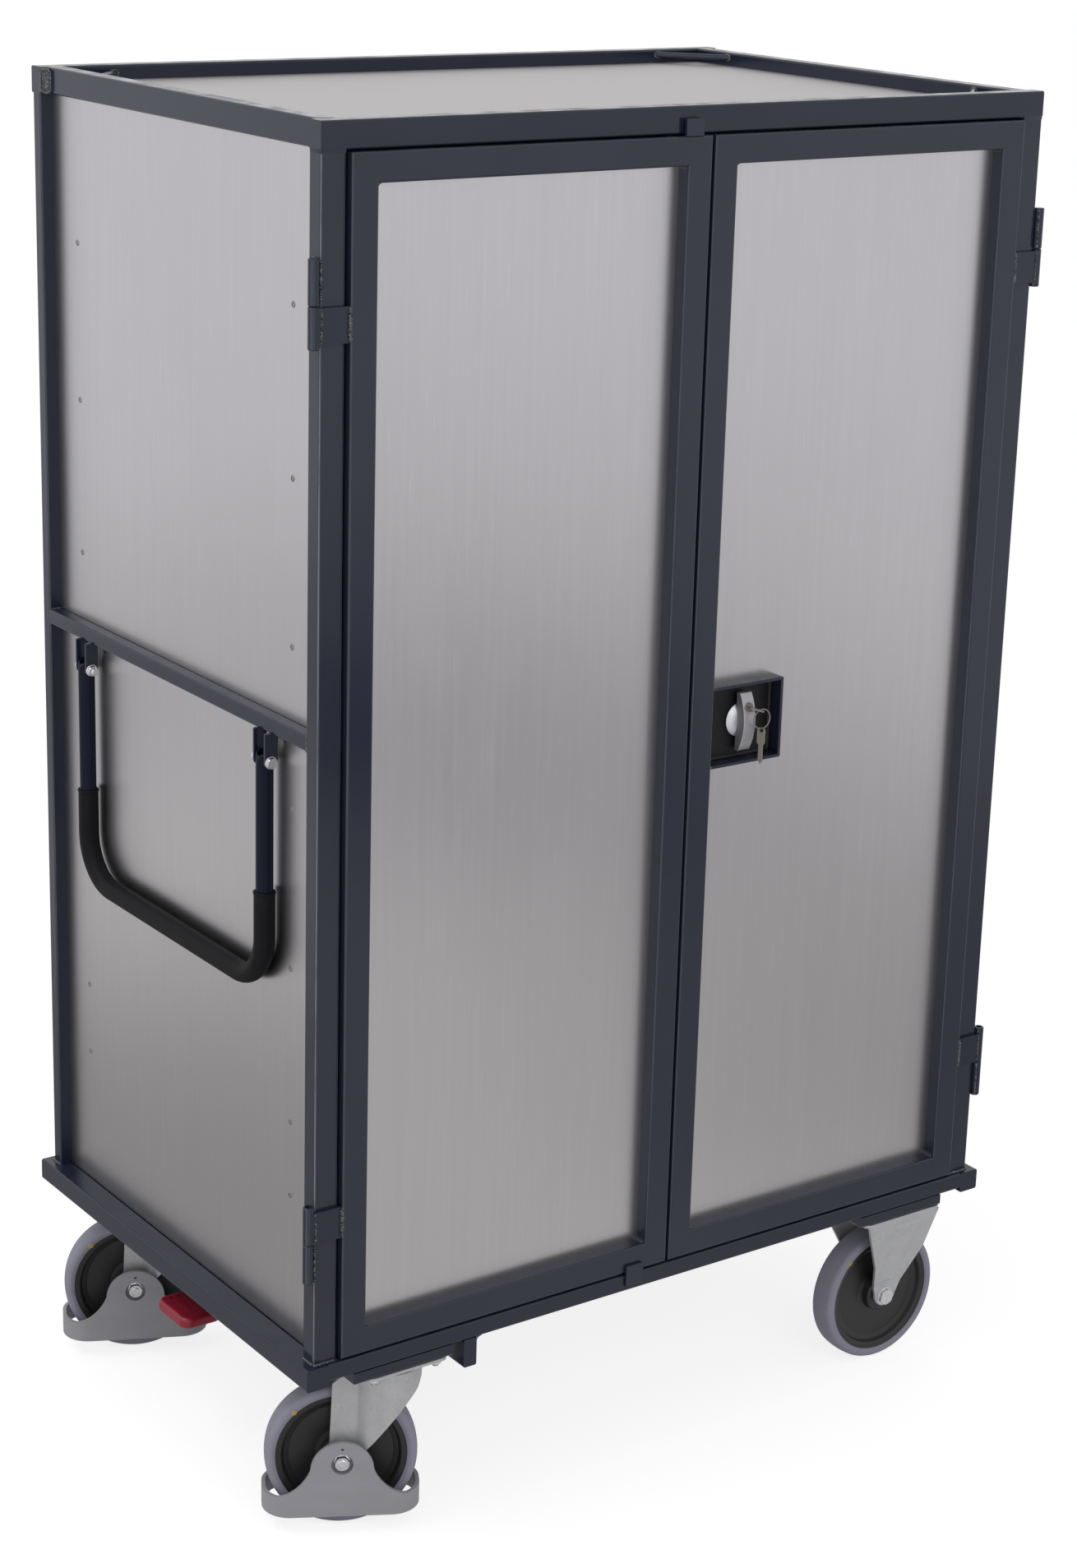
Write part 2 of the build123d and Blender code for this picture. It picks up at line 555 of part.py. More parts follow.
guard -= rod("Y", AXLE_R + 0.1, (0, -60, WHEEL_R), 120)
guard -= rod("Y", 2, (0, -60, WHEEL_R + 22), 120)
axle = Pos(0, -GUARD_SEAT, WHEEL_R) * Rot(-90, 0, 0) * bolt(2 * GUARD_SEAT, AXLE_R, 18, 6.5, 7, 1)

# Wheel: grey tyre with a gently crowned tread on a black rim with a recessed web and a long hub.
TREAD_CROWN = 96.0
TREAD_HALF = 14.5


def tread(y):
    """Radius of the tread at a distance from the wheel's middle."""
    return WHEEL_R - TREAD_CROWN + math.sqrt(TREAD_CROWN**2 - y**2)


tyre_half = Polyline((0, 86), (18, 86), (20, 90))
shoulder = (TREAD_HALF, tread(TREAD_HALF))
tyre_half += ThreePointArc((20, 90), (18.7, 96), shoulder)
tyre_half += ThreePointArc(shoulder, (TREAD_HALF / 2, tread(TREAD_HALF / 2)), (0, WHEEL_R))
tyre_half += Line((0, WHEEL_R), (0, 86))
tyre_face = make_face(tyre_half)
tyre_face += mirror(tyre_face, Plane.YZ)
rim_points = [(0, AXLE_R + RUN_FIT), (22.5, AXLE_R + RUN_FIT), (22.5, 15), (21, 17), (21, 23), (18.5, 25.5)]
rim_points += [(9, 27), (7.5, 34), (7.5, 68), (10, 75), (15.5, 77.5), (16.5, 79), (17.5, 85.9), (0, 85.9)]
rim_face = make_face(Polyline(*rim_points, close=True))
rim_face += mirror(rim_face, Plane.YZ)
ALONG_Y = Plane(origin=(0, 0, WHEEL_R), x_dir=(0, 1, 0), z_dir=(1, 0, 0))
AXLE_LINE = Axis((0, 0, WHEEL_R), (0, 1, 0))
tyre = revolve(ALONG_Y * tyre_face, AXLE_LINE)
rim = revolve(ALONG_Y * rim_face, AXLE_LINE)

# Fixed fork: plate with two leaning legs, each with a round foot and a raised middle with sloped edges.
# The rib's outline lies on the leaning face, with y measured down the slope from the bend.
LEG = ((-65, 237), (-29, 154), (-18, 104), (20, 101), (56, 171), (67, 237))
LEG_RIB = ((-12, -6), (14, -6), (36, -112), (-14, -112))
LEG_WALL = 4.0
LEG_OUT = 27.0
LEG_BEND = 118.0
RIB_RISE = 2.2
RIB_SLOPE = 5.0


def lean(z):
    """Outer half width of the fixed fork at a height."""
    return LEG_OUT + (PLATE_Y - LEG_OUT) * max(0.0, (z - LEG_BEND) / (PLATE_LOW - LEG_BEND))


outside = [(lean(z), z) for z in (80, LEG_BEND, PLATE_LOW)]
inside = [(y - LEG_WALL, z) for y, z in reversed(outside)]
leg_band = make_face(Polyline(*outside, *inside, close=True))
leg_side = side_prism(LEG, (20, 60)) + rod("Y", 19, (1, 20, 104), 40)
leg = extrude(Plane.YZ * leg_band, 70, both=True) & leg_side
leg_face = Plane((0, LEG_OUT, LEG_BEND), x_dir=(1, 0, 0), z_dir=(0, PLATE_LOW - LEG_BEND, LEG_OUT - PLATE_Y))
rib_foot = make_face(Polyline(*LEG_RIB, close=True))
rib_face = Pos(0, 0, RIB_RISE) * offset(rib_foot, -RIB_SLOPE)
leg += leg_face * loft([rib_foot, rib_face], ruled=True)
fixed_fork = top_plate(FIXED_PLATE_X, FIXED_BOLT) + leg + mirror(leg, Plane.XZ)
fixed_fork -= rod("Y", AXLE_R + 0.1, (0, -60, WHEEL_R), 120)
fixed_axle = Pos(0, -LEG_OUT, WHEEL_R) * Rot(-90, 0, 0) * bolt(2 * LEG_OUT, AXLE_R, 22, 6, 8, 2)

nodes["fixed_forks"] = group(Pos(FIXED_X, y, 0) * fixed_fork for y in FIXED_ROWS)
nodes["fixed_axles"] = group(Pos(FIXED_X, y, 0) * fixed_axle for y in FIXED_ROWS)
for fixed_y, (name, (kingpin_y, turn)) in zip(FIXED_ROWS, SWIVELS.items()):
    head = Pos(KINGPIN_X, kingpin_y, 0) * Rot(0, 0, turn)
    wheel = head * Pos(-OFFSET, 0, 0)
    nodes["swivel_fork_" + name] = head * fork
    nodes["foot_guard_" + name] = wheel * guard
    nodes["swivel_axle_" + name] = wheel * axle
    nodes["swivel_tyre_" + name] = wheel * tyre
    nodes["swivel_rim_" + name] = wheel * rim
    nodes["fixed_tyre_" + name] = Pos(FIXED_X, fixed_y, 0) * tyre
    nodes["fixed_rim_" + name] = Pos(FIXED_X, fixed_y, 0) * rim

# Central brake: pedal and arm on a cross shaft whose fingers push a plunger through each kingpin.
shaft = rod("Y", SHAFT_R, (SHAFT_X, KINGPIN_ROWS[0] - 6, SHAFT_Z), KINGPIN_ROWS[1] - KINGPIN_ROWS[0] + 12)
for y in KINGPIN_ROWS:
    shaft += rod("Y", 8, (SHAFT_X, y - 6, SHAFT_Z), 12)
    shaft += block((KINGPIN_X - 6, SHAFT_X), (y - 6, y + 6), (SHAFT_Z - 2.5, SHAFT_Z + 4))
arm = [(SHAFT_X, 245), (-441, 236), (-470, 192), (-546, 192)]
arm += [(-546, 197), (-474, 197), (-447, 243), (SHAFT_X, 259)]
shaft += side_prism(arm, (-8, 8))
shaft += rod("Y", 9, (SHAFT_X, -8, SHAFT_Z), 16)
tongue = block((-546, -494), (-22, 22), (192, 197))
shaft += tongue
nodes["brake_shaft"] = shaft
pedal = plate("Z", (-559, -498), (-40.5, 40.5), (187.5, 203), 14)
pedal = fillet(pedal.edges().group_by(Axis.Z)[-1], 6)
pedal = fillet(pedal.edges().group_by(Axis.Z)[0], 3)
for i in range(4):
    pedal -= block((-544 + 12 * i, -540 + 12 * i), (-30, 30), (201, 205))
pedal -= block((-546, -490), (-22, 22), (192, 197))
nodes["brake_pedal"] = pedal

stem = Polyline((9, 194.4), (9, 197.4), (PLUNGER_R, 197.4), (PLUNGER_R, 244.2))
slant = PLUNGER_R * math.sqrt(0.5)
stem += ThreePointArc((PLUNGER_R, 244.2), (slant, 244.2 + slant), (0, 249.2))
stem += Line((0, 249.2), (0, 191.4)) + ThreePointArc((0, 191.4), (5, 192.26), (9, 194.4))
plunger = revolve(Plane.XZ * make_face(stem), Axis.Z)
nodes["brake_plungers"] = group(Pos(KINGPIN_X, y, 0) * plunger for y in KINGPIN_ROWS)

for name, shape in nodes.items():
    export_step(shape, "parts/" + name + ".step")
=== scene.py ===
import bmesh
import bpy
import json
import math
import random
from functools import partial
from mathutils import Matrix, Vector


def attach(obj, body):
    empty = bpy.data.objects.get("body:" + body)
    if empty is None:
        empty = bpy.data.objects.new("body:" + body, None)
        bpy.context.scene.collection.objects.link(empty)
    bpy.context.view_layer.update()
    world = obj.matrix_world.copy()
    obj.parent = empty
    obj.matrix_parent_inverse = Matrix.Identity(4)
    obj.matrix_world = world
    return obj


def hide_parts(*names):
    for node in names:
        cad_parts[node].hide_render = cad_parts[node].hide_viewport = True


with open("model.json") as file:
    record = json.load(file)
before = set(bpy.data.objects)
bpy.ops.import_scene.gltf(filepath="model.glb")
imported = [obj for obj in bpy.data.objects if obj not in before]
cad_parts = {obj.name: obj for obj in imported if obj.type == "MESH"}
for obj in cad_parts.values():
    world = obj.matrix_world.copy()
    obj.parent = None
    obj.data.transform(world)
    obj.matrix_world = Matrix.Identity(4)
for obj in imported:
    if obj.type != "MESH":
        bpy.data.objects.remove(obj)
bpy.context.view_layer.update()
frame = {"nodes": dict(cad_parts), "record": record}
NODES = frame["nodes"]
SLOTS = {part["node"]: part["material_slot"] for part in frame["record"]["subparts"]}

bl_info = {
    "name": "Cabinet trolley looks",
    "version": (1, 0, 0),
    "blender": (4, 5, 0),
    "location": "View3D > Sidebar > Trolley",
    "description": "Finishes, welds, fasteners and small fittings of a two-door cabinet trolley",
    "category": "Object",
}

MM = 0.001
X_AXIS, Y_AXIS, Z_AXIS = Vector((1, 0, 0)), Vector((0, 1, 0)), Vector((0, 0, 1))
SIDES = (-1, 1)

# Places on the frame in mm, the same as the CAD's.
SIDE_FACE = 533.0
POST_X = 550.5
FRONT_POST_X, FRONT_POST_Y = 517.0, (-360.0, -334.0)
BACK_POST_X, BACK_POST_Y = 530.5, (337.0, 357.0)
BASE_TOP = 280.0
RIM_LOW, RIM_TOP = 1784.0, 1818.0
RIM_OUT, RIM_IN, RIM_INNER_Y = 541.0, 516.0, 335.0
MID_RAIL = (1079.0, 1099.0)
RIVET_Y = 272.0
RIVET_Z = (1600.0, 1395.0, 1190.0, 985.0, 780.0, 575.0, 475.0)
DOOR_FRONT, DOOR_SHEET = -368.0, -348.0
DOOR_OUT, DOOR_IN, DOOR_TUBE = 514.0, 2.0, 36.0
DOOR_Z = (282.0, 1782.5)
HINGE_X, BARREL_R = 557.9, 7.0
# Height of the half on the post and of the strap on the door, for each hinge.
HINGE_HALVES = (((1612.2, 1666.0), (1568.0, 1610.0)), ((396.0, 448.8), (450.0, 492.0)))
LOCK_BOX_X, LOCK_BOX_Z = (38.0, 152.0), (972.0, 1081.0)
PLATE_FRONT = -349.0
HANDLE_X, HANDLE_Y, PIVOT_Z, GRIP_TOP = -549.0, 235.0, 1042.0, 872.0
KINGPIN_X = -411.0
SWIVELS = {"front": (-309.8, -28.6), "back": (260.9, -25.6)}
FIXED_X = 428.0
FIXED_Y = {"front": -311.0, "back": 311.0}
WHEEL_R, OFFSET = 100.0, 57.0
BOLT_SEAT, SWIVEL_BOLT, FIXED_BOLT = 244.0, (47.0, 46.0), (52.5, 36.0)
BAR_X, BAR_Y = (-557.0, -539.0), 14.6
# Reach along the rim and height of each corner's rod.
CORNER_RODS = {
    (-1, -1): (60.0, 1803.2),
    (-1, 1): (72.0, 1807.0),
    (1, -1): (72.0, 1810.5),
    (1, 1): (72.0, 1810.5),
}
CROSS_RIGHT, LONG_RAIL_LOW, BASE_Y = -309.0, 256.5, 369.0

# Bolts in mm: shank radius, size over the flats, head, nut, free thread.
SMALL_BOLT = (4.0, 13.0, 5.5, 6.5, 4.0)
SWIVEL_AXLE = (6.0, 18.0, 6.5, 7.0, 1.0)
FIXED_AXLE = (6.0, 22.0, 6.0, 8.0, 2.0)
WASHER = 1.3

# Sections in mm of the dark strips that close the gaps at the foot of the sheets, as painted shade:
# (x, z) at the ends, (y, z) at the back and the front.
END_SHADE_STRIP = ((527.0, 272.0), (532.6, 272.0), (532.6, 280.3), (527.0, 282.0))
BACK_SHADE_STRIP = ((338.7, 273.0), (345.5, 273.0), (345.5, 280.2), (338.7, 280.6))
FRONT_SHADE_STRIP = ((-345.5, 273.0), (-339.5, 273.0), (-339.5, 279.9), (-345.5, 279.9))
BACK_SHADE_STRIP_X, FRONT_SHADE_STRIP_X = 529.0, 516.0

# Tyres in mm: radius and depth of the moulding lines, and the dot's place on the tyre.
TYRE_LINES = ((91.5, 19.95), (88.0, 19.0))
MARK_R, MARK_DEPTH, MARK_ANGLE = 88.6, 19.3, 0.8

# Studio in metres. Painted shade on the floor that only reflections see, in part where the
# trolley's shadow falls: place, outer and inner radius, depth.
PAINTED_FLOOR_SHADE = (
    (1.5, -2.95, 1.0, 0.2, 0.46),
    (1.65, -3.75, 1.05, 0.2, 0.7),
    (2.15, -3.75, 0.55, 0.1, 0.4),
    (2.8, -5.0, 1.0, 0.2, 0.32),
    (1.8, -1.8, 1.1, 0.2, 0.26),
    (1.05, -1.15, 0.8, 0.1, 0.2),
    (-1.0, 0.7, 1.5, 0.3, 0.28),
    (-3.0, 3.4, 1.9, 0.3, 0.3),
)
# Painted light: two bright strips on the floor that only reflections see, given by their start and
# their directions.
STRIP_START = (-0.4, -0.36, 0.0)
STRIP_AIMS = ((-0.978, -0.208, 0.0), (-0.242, -0.97, 0.0))
WHITE, BLACK = (1.0, 1.0, 1.0, 1.0), (0.0, 0.0, 0.0, 1.0)
FLOOR_REACH = 40.0
SIDE_LIGHT, FRONT_LIGHT = (-3.0, 0.5, 3.8), (-0.8, -4.2, 3.0)
LIGHT_AIM, LIGHT_SIZE = (0.0, 0.0, 0.9), 2.4
EYE = (-2.35, -3.3339, 2.1719)
EYE_TURN, EYE_TIP, EYE_ROLL = -35.72, 16.91, 1.69
EYE_SHIFT = (-0.0085, -0.033)


class Val:
    """Output socket of a shader node. Arithmetic on it adds Math nodes."""

    def __init__(self, recipe, socket):
        self.recipe = recipe
        self.socket = socket

    def math(self, operation, *terms):
        """Math node on these terms."""
        return self.recipe.node("ShaderNodeMath", {"operation": operation}, dict(enumerate(terms)))

    def __add__(self, other):
        return self.math("ADD", self, other)

    def __sub__(self, other):
        return self.math("SUBTRACT", self, other)

    def __rsub__(self, other):
        return self.math("SUBTRACT", other, self)

    def __mul__(self, other):
        return self.math("MULTIPLY", self, other)

    def __abs__(self):
        return self.math("ABSOLUTE", self)

    __radd__ = __add__
    __rmul__ = __mul__

    def larger(self, other):
        """The larger of two values."""
        return self.math("MAXIMUM", self, other)

    def rise(self, start, stop):
        """Smooth step from 0 at start to 1 at stop."""
        settings = {"interpolation_type": "SMOOTHSTEP"}
        limits = {0: self, 1: start, 2: stop, 3: 0.0, 4: 1.0}
        return self.recipe.node("ShaderNodeMapRange", settings, limits)


class Recipe:
    """Node tree of one finish, and short ways to add its nodes."""

    def __init__(self, tree):
        self.tree = tree
        tree.nodes.clear()

    def node(self, kind, settings=None, sockets=None, out=0):
        """Adds a node: its settings first, then the values or links of its sockets."""
        node = self.tree.nodes.new(kind)
        for key, value in (settings or {}).items():
            setattr(node, key, value)
        for key, value in (sockets or {}).items():
            if isinstance(value, Val):
                self.tree.links.new(value.socket, node.inputs[key])
            else:
                node.inputs[key].default_value = value
        return node if out is None else Val(self, node.outputs[out])

    def place(self):
        """Place on the object in metres."""
        return self.node("ShaderNodeTexCoord", out="Object")

    def axes(self, vector):
        """The three parts of a vector."""
        split = self.node("ShaderNodeSeparateXYZ", sockets={0: vector})
        return [Val(self, socket) for socket in split.socket.node.outputs]

    def vector(self, operation, *terms, out=0):
        """Vector Math node on these terms."""
        settings = {"operation": operation}
        return self.node("ShaderNodeVectorMath", settings, dict(enumerate(terms)), out)

    def facing(self):
        """The three parts of the surface's direction in the scene."""
        return self.axes(self.node("ShaderNodeNewGeometry", out="Normal"))

    def own_facing(self):
        """The three parts of the surface's direction on the object."""
        return self.axes(self.node("ShaderNodeTexCoord", out="Normal"))

    def rays(self):
        """Whether a ray comes from the camera, off a gloss or through glass."""
        outputs = self.node("ShaderNodeLightPath").socket.node.outputs
        names = ("Is Camera Ray", "Is Glossy Ray", "Is Transmission Ray")
        return [Val(self, outputs[name]) for name in names]

    def noise(self, scale, detail=2.0, rough=0.5):
        """Noise with a scale per metre along each axis."""
        stretched = self.vector("MULTIPLY", self.place(), scale)
        sockets = {"Vector": stretched, "Scale": 1.0, "Detail": detail, "Roughness": rough}
        return self.node("ShaderNodeTexNoise", sockets=sockets)

    def cells(self, scale, out="Distance"):
        """Cell pattern with a scale per metre."""
        sockets = {"Vector": self.place(), "Scale": scale}
        return self.node("ShaderNodeTexVoronoi", sockets=sockets, out=out)

    def mix(self, factor, one, two):
        """Colour between two colours."""
        return self.node("ShaderNodeMix", {"data_type": "RGBA"}, {0: factor, 6: one, 7: two}, out=2)

    def bump(self, height, strength, depth):
        """Surface direction of a height."""
        sockets = {"Height": height, "Strength": strength, "Distance": depth}
        return self.node("ShaderNodeBump", sockets=sockets)

    def surface(self, **sockets):
        """Principled surface on the output. Underscores stand for spaces."""
        named = {key.replace("_", " "): value for key, value in sockets.items()}
        shader = self.node("ShaderNodeBsdfPrincipled", sockets=named)
        self.node("ShaderNodeOutputMaterial", sockets={"Surface": shader}, out=None)


def even(value):
    """Same scale on all three axes."""
    return (value, value, value)


def shade(colour, factor=1.0):
    """Colour made darker or lighter, with full alpha."""
    return tuple(part * factor for part in tuple(colour)[:3]) + (1.0,)


def paint_finish(recipe, colour, gloss=0.13, specular=0.37, edge=0.1):
    """Powder coat with a soft peel, scuffed, dusty on top, and paler on rounded upright edges as a
    painted highlight.
    """
    cloud = recipe.noise(even(9.0), 3.0)
    grain = recipe.noise(even(420.0), 2.0)
    scuff = recipe.noise((34.0, 34.0, 9.0), 6.0, 0.75).rise(0.69, 0.75)
    dust = recipe.facing()[2].rise(0.75, 0.98) * recipe.noise(even(28.0), 4.0).rise(0.3, 0.75)
    tone = recipe.mix(cloud, shade(colour, 0.84), shade(colour, 1.14))
    tone = recipe.mix(scuff * 0.3, tone, shade((0.11, 0.11, 0.13)))
    tone = recipe.mix(dust * 0.3, tone, shade((0.05, 0.055, 0.075)))
    # Painted highlight: rounded upright edges get a paler colour that stands for the light they
    # catch.
    if edge:
        across, along, upward = (abs(part) for part in recipe.own_facing())
        flat = across.larger(along).larger(upward)
        painted_edge_highlight = (1.0 - flat).rise(0.05, 0.2) * upward.rise(0.7, 0.1)
        painted_edge_highlight = painted_edge_highlight * (recipe.noise((60.0, 60.0, 14.0), 4.0, 0.6).rise(0.25, 0.6) * 0.6 + 0.4)
        tone = recipe.mix(painted_edge_highlight * edge, tone, shade((0.36, 0.375, 0.43)))
    rough = gloss + cloud * 0.06 + scuff * 0.16 + dust * 0.2
    normal = recipe.bump(grain + recipe.noise(even(90.0)) * 0.5, 0.06, 0.0005)
    recipe.surface(Base_Color=tone, Roughness=rough, Normal=normal, Specular_IOR_Level=specular)


def brushed_finish(recipe, colour):
    """Rolled metal sheet with fine upright brushing, wiped smudges and a few light scratches."""
    fine = recipe.noise((1500.0, 1500.0, 9.0), 3.0, 0.6)
    broad = recipe.noise((160.0, 160.0, 3.0), 2.0)
    smudge = recipe.noise((3.2, 3.2, 2.4), 4.0, 0.55)
    wipe = recipe.noise((13.0, 13.0, 5.0), 3.0).rise(0.5, 0.8)
    scratch = recipe.noise((420.0, 420.0, 14.0), 1.0).rise(0.72, 0.76)
    streak = fine * 0.6 + broad * 0.4
    tone = recipe.mix(streak, shade(colour, 0.88), shade(colour, 1.1))
    tone = recipe.mix(smudge.rise(0.35, 0.75) * 0.4, tone, shade(colour, 0.95))
    tone = recipe.mix(scratch * 0.25, tone, shade(colour, 1.3))
    rough = 0.26 + streak * 0.05 + smudge * 0.05 + wipe * 0.03
    normal = recipe.bump(streak, 0.05, 0.0004)
    recipe.surface(Base_Color=tone, Metallic=1.0, Roughness=rough, Normal=normal, Anisotropic=0.4)


def mill_finish(recipe, colour):
    """Matt sheet straight from the mill, with rolling lines along X and dull patches."""
    lines = recipe.noise((7.0, 900.0, 900.0), 3.0, 0.6)
    patch = recipe.noise(even(5.0), 4.0)
    tone = recipe.mix(lines * 0.5 + patch * 0.5, shade(colour, 0.9), shade(colour, 1.08))
    rough = 0.42 + patch * 0.12
    normal = recipe.bump(lines, 0.05, 0.0004)
    recipe.surface(Base_Color=tone, Metallic=1.0, Roughness=rough, Normal=normal)


def zinc_finish(recipe, colour):
    """Bright zinc plate: small crystals, cloudy grey film and dull spots."""
    crystal = recipe.cells(260.0, "Color")
    level = recipe.axes(crystal)[0]
    film = recipe.noise(even(38.0), 4.0, 0.6)
    spot = recipe.noise(even(150.0), 3.0).rise(0.62, 0.74)
    tone = recipe.mix(level * 0.2 + film * 0.8, shade(colour, 0.8), shade(colour, 1.12))
    tone = recipe.mix(spot * 0.3, tone, shade(colour, 0.65))
    rough = 0.4 + film * 0.12 + level * 0.03 + spot * 0.1
    normal = recipe.bump(film, 0.06, 0.0005)
    recipe.surface(Base_Color=tone, Metallic=0.5, Roughness=rough, Normal=normal)


def rubber_finish(recipe, colour):
    """Grey tyre rubber with a dull bloom, fine specks and a scuffed tread."""
    bloom = recipe.noise(even(45.0), 4.0, 0.6)
    speck = recipe.noise(even(700.0), 2.0).rise(0.62, 0.72)
    pore = recipe.noise(even(950.0), 2.0)
    tone = recipe.mix(bloom, shade(colour, 0.84), shade(colour, 1.12))
    tone = recipe.mix(speck * 0.25, tone, shade(colour, 0.6))
    rough = 0.58 + bloom * 0.16
    normal = recipe.bump(pore, 0.2, 0.0004)
    recipe.surface(Base_Color=tone, Roughness=rough, Normal=normal, Specular_IOR_Level=0.35)


def moulded_finish(recipe, colour, grain, rough, specular):
    """Moulded plastic with a fine spark-eroded grain and slight flow marks."""
    flow = recipe.noise((14.0, 14.0, 40.0), 3.0)
    pits = recipe.cells(grain)
    rub = recipe.noise(even(60.0), 5.0, 0.7).rise(0.6, 0.75)
    tone = recipe.mix(flow, shade(colour, 0.9), shade(colour, 1.1))
    tone = recipe.mix(rub * 0.18, tone, shade(colour, 1.5))
    value = rough - rub * 0.08 + flow * 0.08
    normal = recipe.bump(pits, 0.18, 0.0004)
    recipe.surface(Base_Color=tone, Roughness=value, Normal=normal, Specular_IOR_Level=specular)


def sleeve_finish(recipe, colour):
    """Soft black sleeve with a knurled feel, rubbed grey in places."""
    knurl = recipe.noise((900.0, 900.0, 260.0), 2.0)
    rubbed = recipe.noise(even(30.0), 4.0).rise(0.52, 0.75)
    tone = recipe.mix(rubbed * 0.5, shade(colour, 0.9), shade(colour, 1.8))
    rough = 0.5 + knurl * 0.14
    normal = recipe.bump(knurl, 0.3, 0.0005)
    recipe.surface(Base_Color=tone, Roughness=rough, Normal=normal, Specular_IOR_Level=0.12)


def chrome_finish(recipe, colour):
    """Satin plated metal with handling marks."""
    film = recipe.noise(even(160.0), 4.0, 0.65)
    line = recipe.noise((120.0, 900.0, 900.0), 2.0)
    tone = recipe.mix(film, shade(colour, 0.72), shade(colour, 1.12))
    rough = 0.2 + film * 0.2
    normal = recipe.bump(line, 0.05, 0.0003)
    recipe.surface(Base_Color=tone, Metallic=1.0, Roughness=rough, Normal=normal)


def cast_finish(recipe, colour):
    """Satin silver coat on a die casting, darker on its flanks and on its streaked raised front as
    painted shade.
    """
    film = recipe.noise(even(120.0), 3.0, 0.6)
    grain = recipe.noise(even(1400.0), 2.0)
    brush = recipe.noise((1200.0, 1200.0, 60.0), 2.0)
    front = recipe.own_facing()[1].rise(-0.35, -0.8)
    proud = recipe.axes(recipe.node("ShaderNodeTexCoord", out="Generated"))[1].rise(0.34, 0.28)
    # Painted shade: the flanks and the raised front get darker copies of the colour, which stand
    # for how the light falls on them; the front copy is also streaked.
    painted_flank_shade = recipe.mix(film, shade(colour, 0.54), shade(colour, 0.62))
    rubbed = recipe.mix(brush, shade(colour, 0.5), shade(colour, 0.66))
    tone = recipe.mix(film * 0.6 + brush * 0.4, shade(colour, 0.86), shade(colour, 1.12))
    tone = recipe.mix(front * proud, recipe.mix(front, painted_flank_shade, tone), rubbed)
    normal = recipe.bump(grain, 0.1, 0.0003)
    recipe.surface(Base_Color=tone, Metallic=0.6, Roughness=0.36 + film * 0.1, Normal=normal)


def key_finish(recipe, colour):
    """Dull stamped key metal, darker in its scratches."""
    film = recipe.noise(even(300.0), 4.0, 0.65)
    line = recipe.noise((120.0, 900.0, 900.0), 2.0)
    tone = recipe.mix(film, shade(colour, 0.7), shade(colour, 1.15))
    rough = 0.42 + film * 0.16
    normal = recipe.bump(line, 0.08, 0.0003)
    recipe.surface(Base_Color=tone, Metallic=0.6, Roughness=rough, Normal=normal)


def shelf_finish(recipe, colour):
    """Matt light grey powder coat with rubbed tracks along the shelf."""
    grain = recipe.noise(even(500.0), 2.0)
    track = recipe.noise((4.0, 60.0, 60.0), 4.0).rise(0.5, 0.8)
    tone = recipe.mix(track * 0.5 + grain * 0.2, shade(colour, 1.05), shade(colour, 0.8))
    rough = 0.48 - track * 0.1
    recipe.surface(Base_Color=tone, Roughness=rough, Normal=recipe.bump(grain, 0.2, 0.0005))


def bead_finish(recipe, colour):
    """Weld bead under glossy paint, uneven, with pale flecks on its crests as painted glints."""
    spatter_and_glint = recipe.noise(even(420.0), 3.0, 0.7).rise(0.5, 0.62)
    # Painted highlight: the pale flecks stand for glints; the same pattern also makes the bead
    # uneven.
    tone = recipe.mix(spatter_and_glint * 0.38, shade(colour), shade((0.5, 0.51, 0.55)))
    rough = 0.12 + spatter_and_glint * 0.08
    normal = recipe.bump(spatter_and_glint, 0.4, 0.0007)
    recipe.surface(Base_Color=tone, Roughness=rough, Normal=normal, Specular_IOR_Level=0.6)


def spot_finish(recipe, colour):
    """Thin yellow marking paint, uneven at the edge of the stroke."""
    patch = recipe.noise(even(500.0), 3.0)
    tone = recipe.mix(patch, shade(colour, 0.8), shade(colour, 1.15))
    recipe.surface(Base_Color=tone, Roughness=0.5 + patch * 0.15)


# What makes each finish.
MAKERS = {
    "frame_paint": paint_finish,
    "panel_sheet": brushed_finish,
    "light_sheet": mill_finish,
    "shelf_paint": shelf_finish,
    "zinc": zinc_finish,
    "tyre": rubber_finish,
    "wheel_rim": partial(moulded_finish, grain=700.0, rough=0.4, specular=0.45),
    "guard_plastic": partial(moulded_finish, grain=1300.0, rough=0.46, specular=0.4),
    "pedal_red": partial(moulded_finish, grain=900.0, rough=0.34, specular=0.5),
    "grip_rubber": sleeve_finish,
    "lock_black": partial(moulded_finish, grain=1500.0, rough=0.38, specular=0.25),
    "lock_metal": chrome_finish,
    "lock_cast": cast_finish,
    "weld_bead": bead_finish,
    "marking_paint": spot_finish,
    "rivet_metal": zinc_finish,
    "key_metal": key_finish,
    # Painted light: the handle, front post and door paints are darker and lighter copies of the one
    # frame paint, which stand for shade and light.
    "handle_paint": partial(paint_finish, gloss=0.36, specular=0.1, edge=0.0),
    "post_paint": partial(paint_finish, edge=0.45),
    "door_paint": paint_finish,
    "bolt_metal": chrome_finish,
    # Painted light: a lighter copy of the zinc for the fixed forks, which stands for the light on
    # their pressed ridges.
    "fork_zinc": zinc_finish,
}

# Parts whose finish differs from that of their slot.
OWN_FINISH = {
    "lock_knob": "lock_cast",
    "key": "key_metal",
    "key_ring": "key_metal",
    # The handle, front posts and door frames take shaded and lit copies of the frame paint, as
    # painted shade and painted light.
    "push_handle": "handle_paint",
    # The fixed forks take the lighter copy of the zinc, as painted light.
    "fixed_forks": "fork_zinc",
    "front_posts": "post_paint",
    "left_door_frame": "door_paint",
    "right_door_frame": "door_paint",
}


def finish(slot):
    """The material of a finish."""
    return bpy.data.materials["trolley_" + slot]


def turns(count):
    """Angles of even steps round a circle."""
    return [2 * math.pi * i / count for i in range(count)]


def across(axis):
    """Two directions square to an axis and to each other."""
    side = axis.orthogonal().normalized()
    return side, axis.cross(side)


def upright(x, y, low, high):
    """Both ends of an upright line."""
    return [Vector((x, y, low)), Vector((x, y, high))]


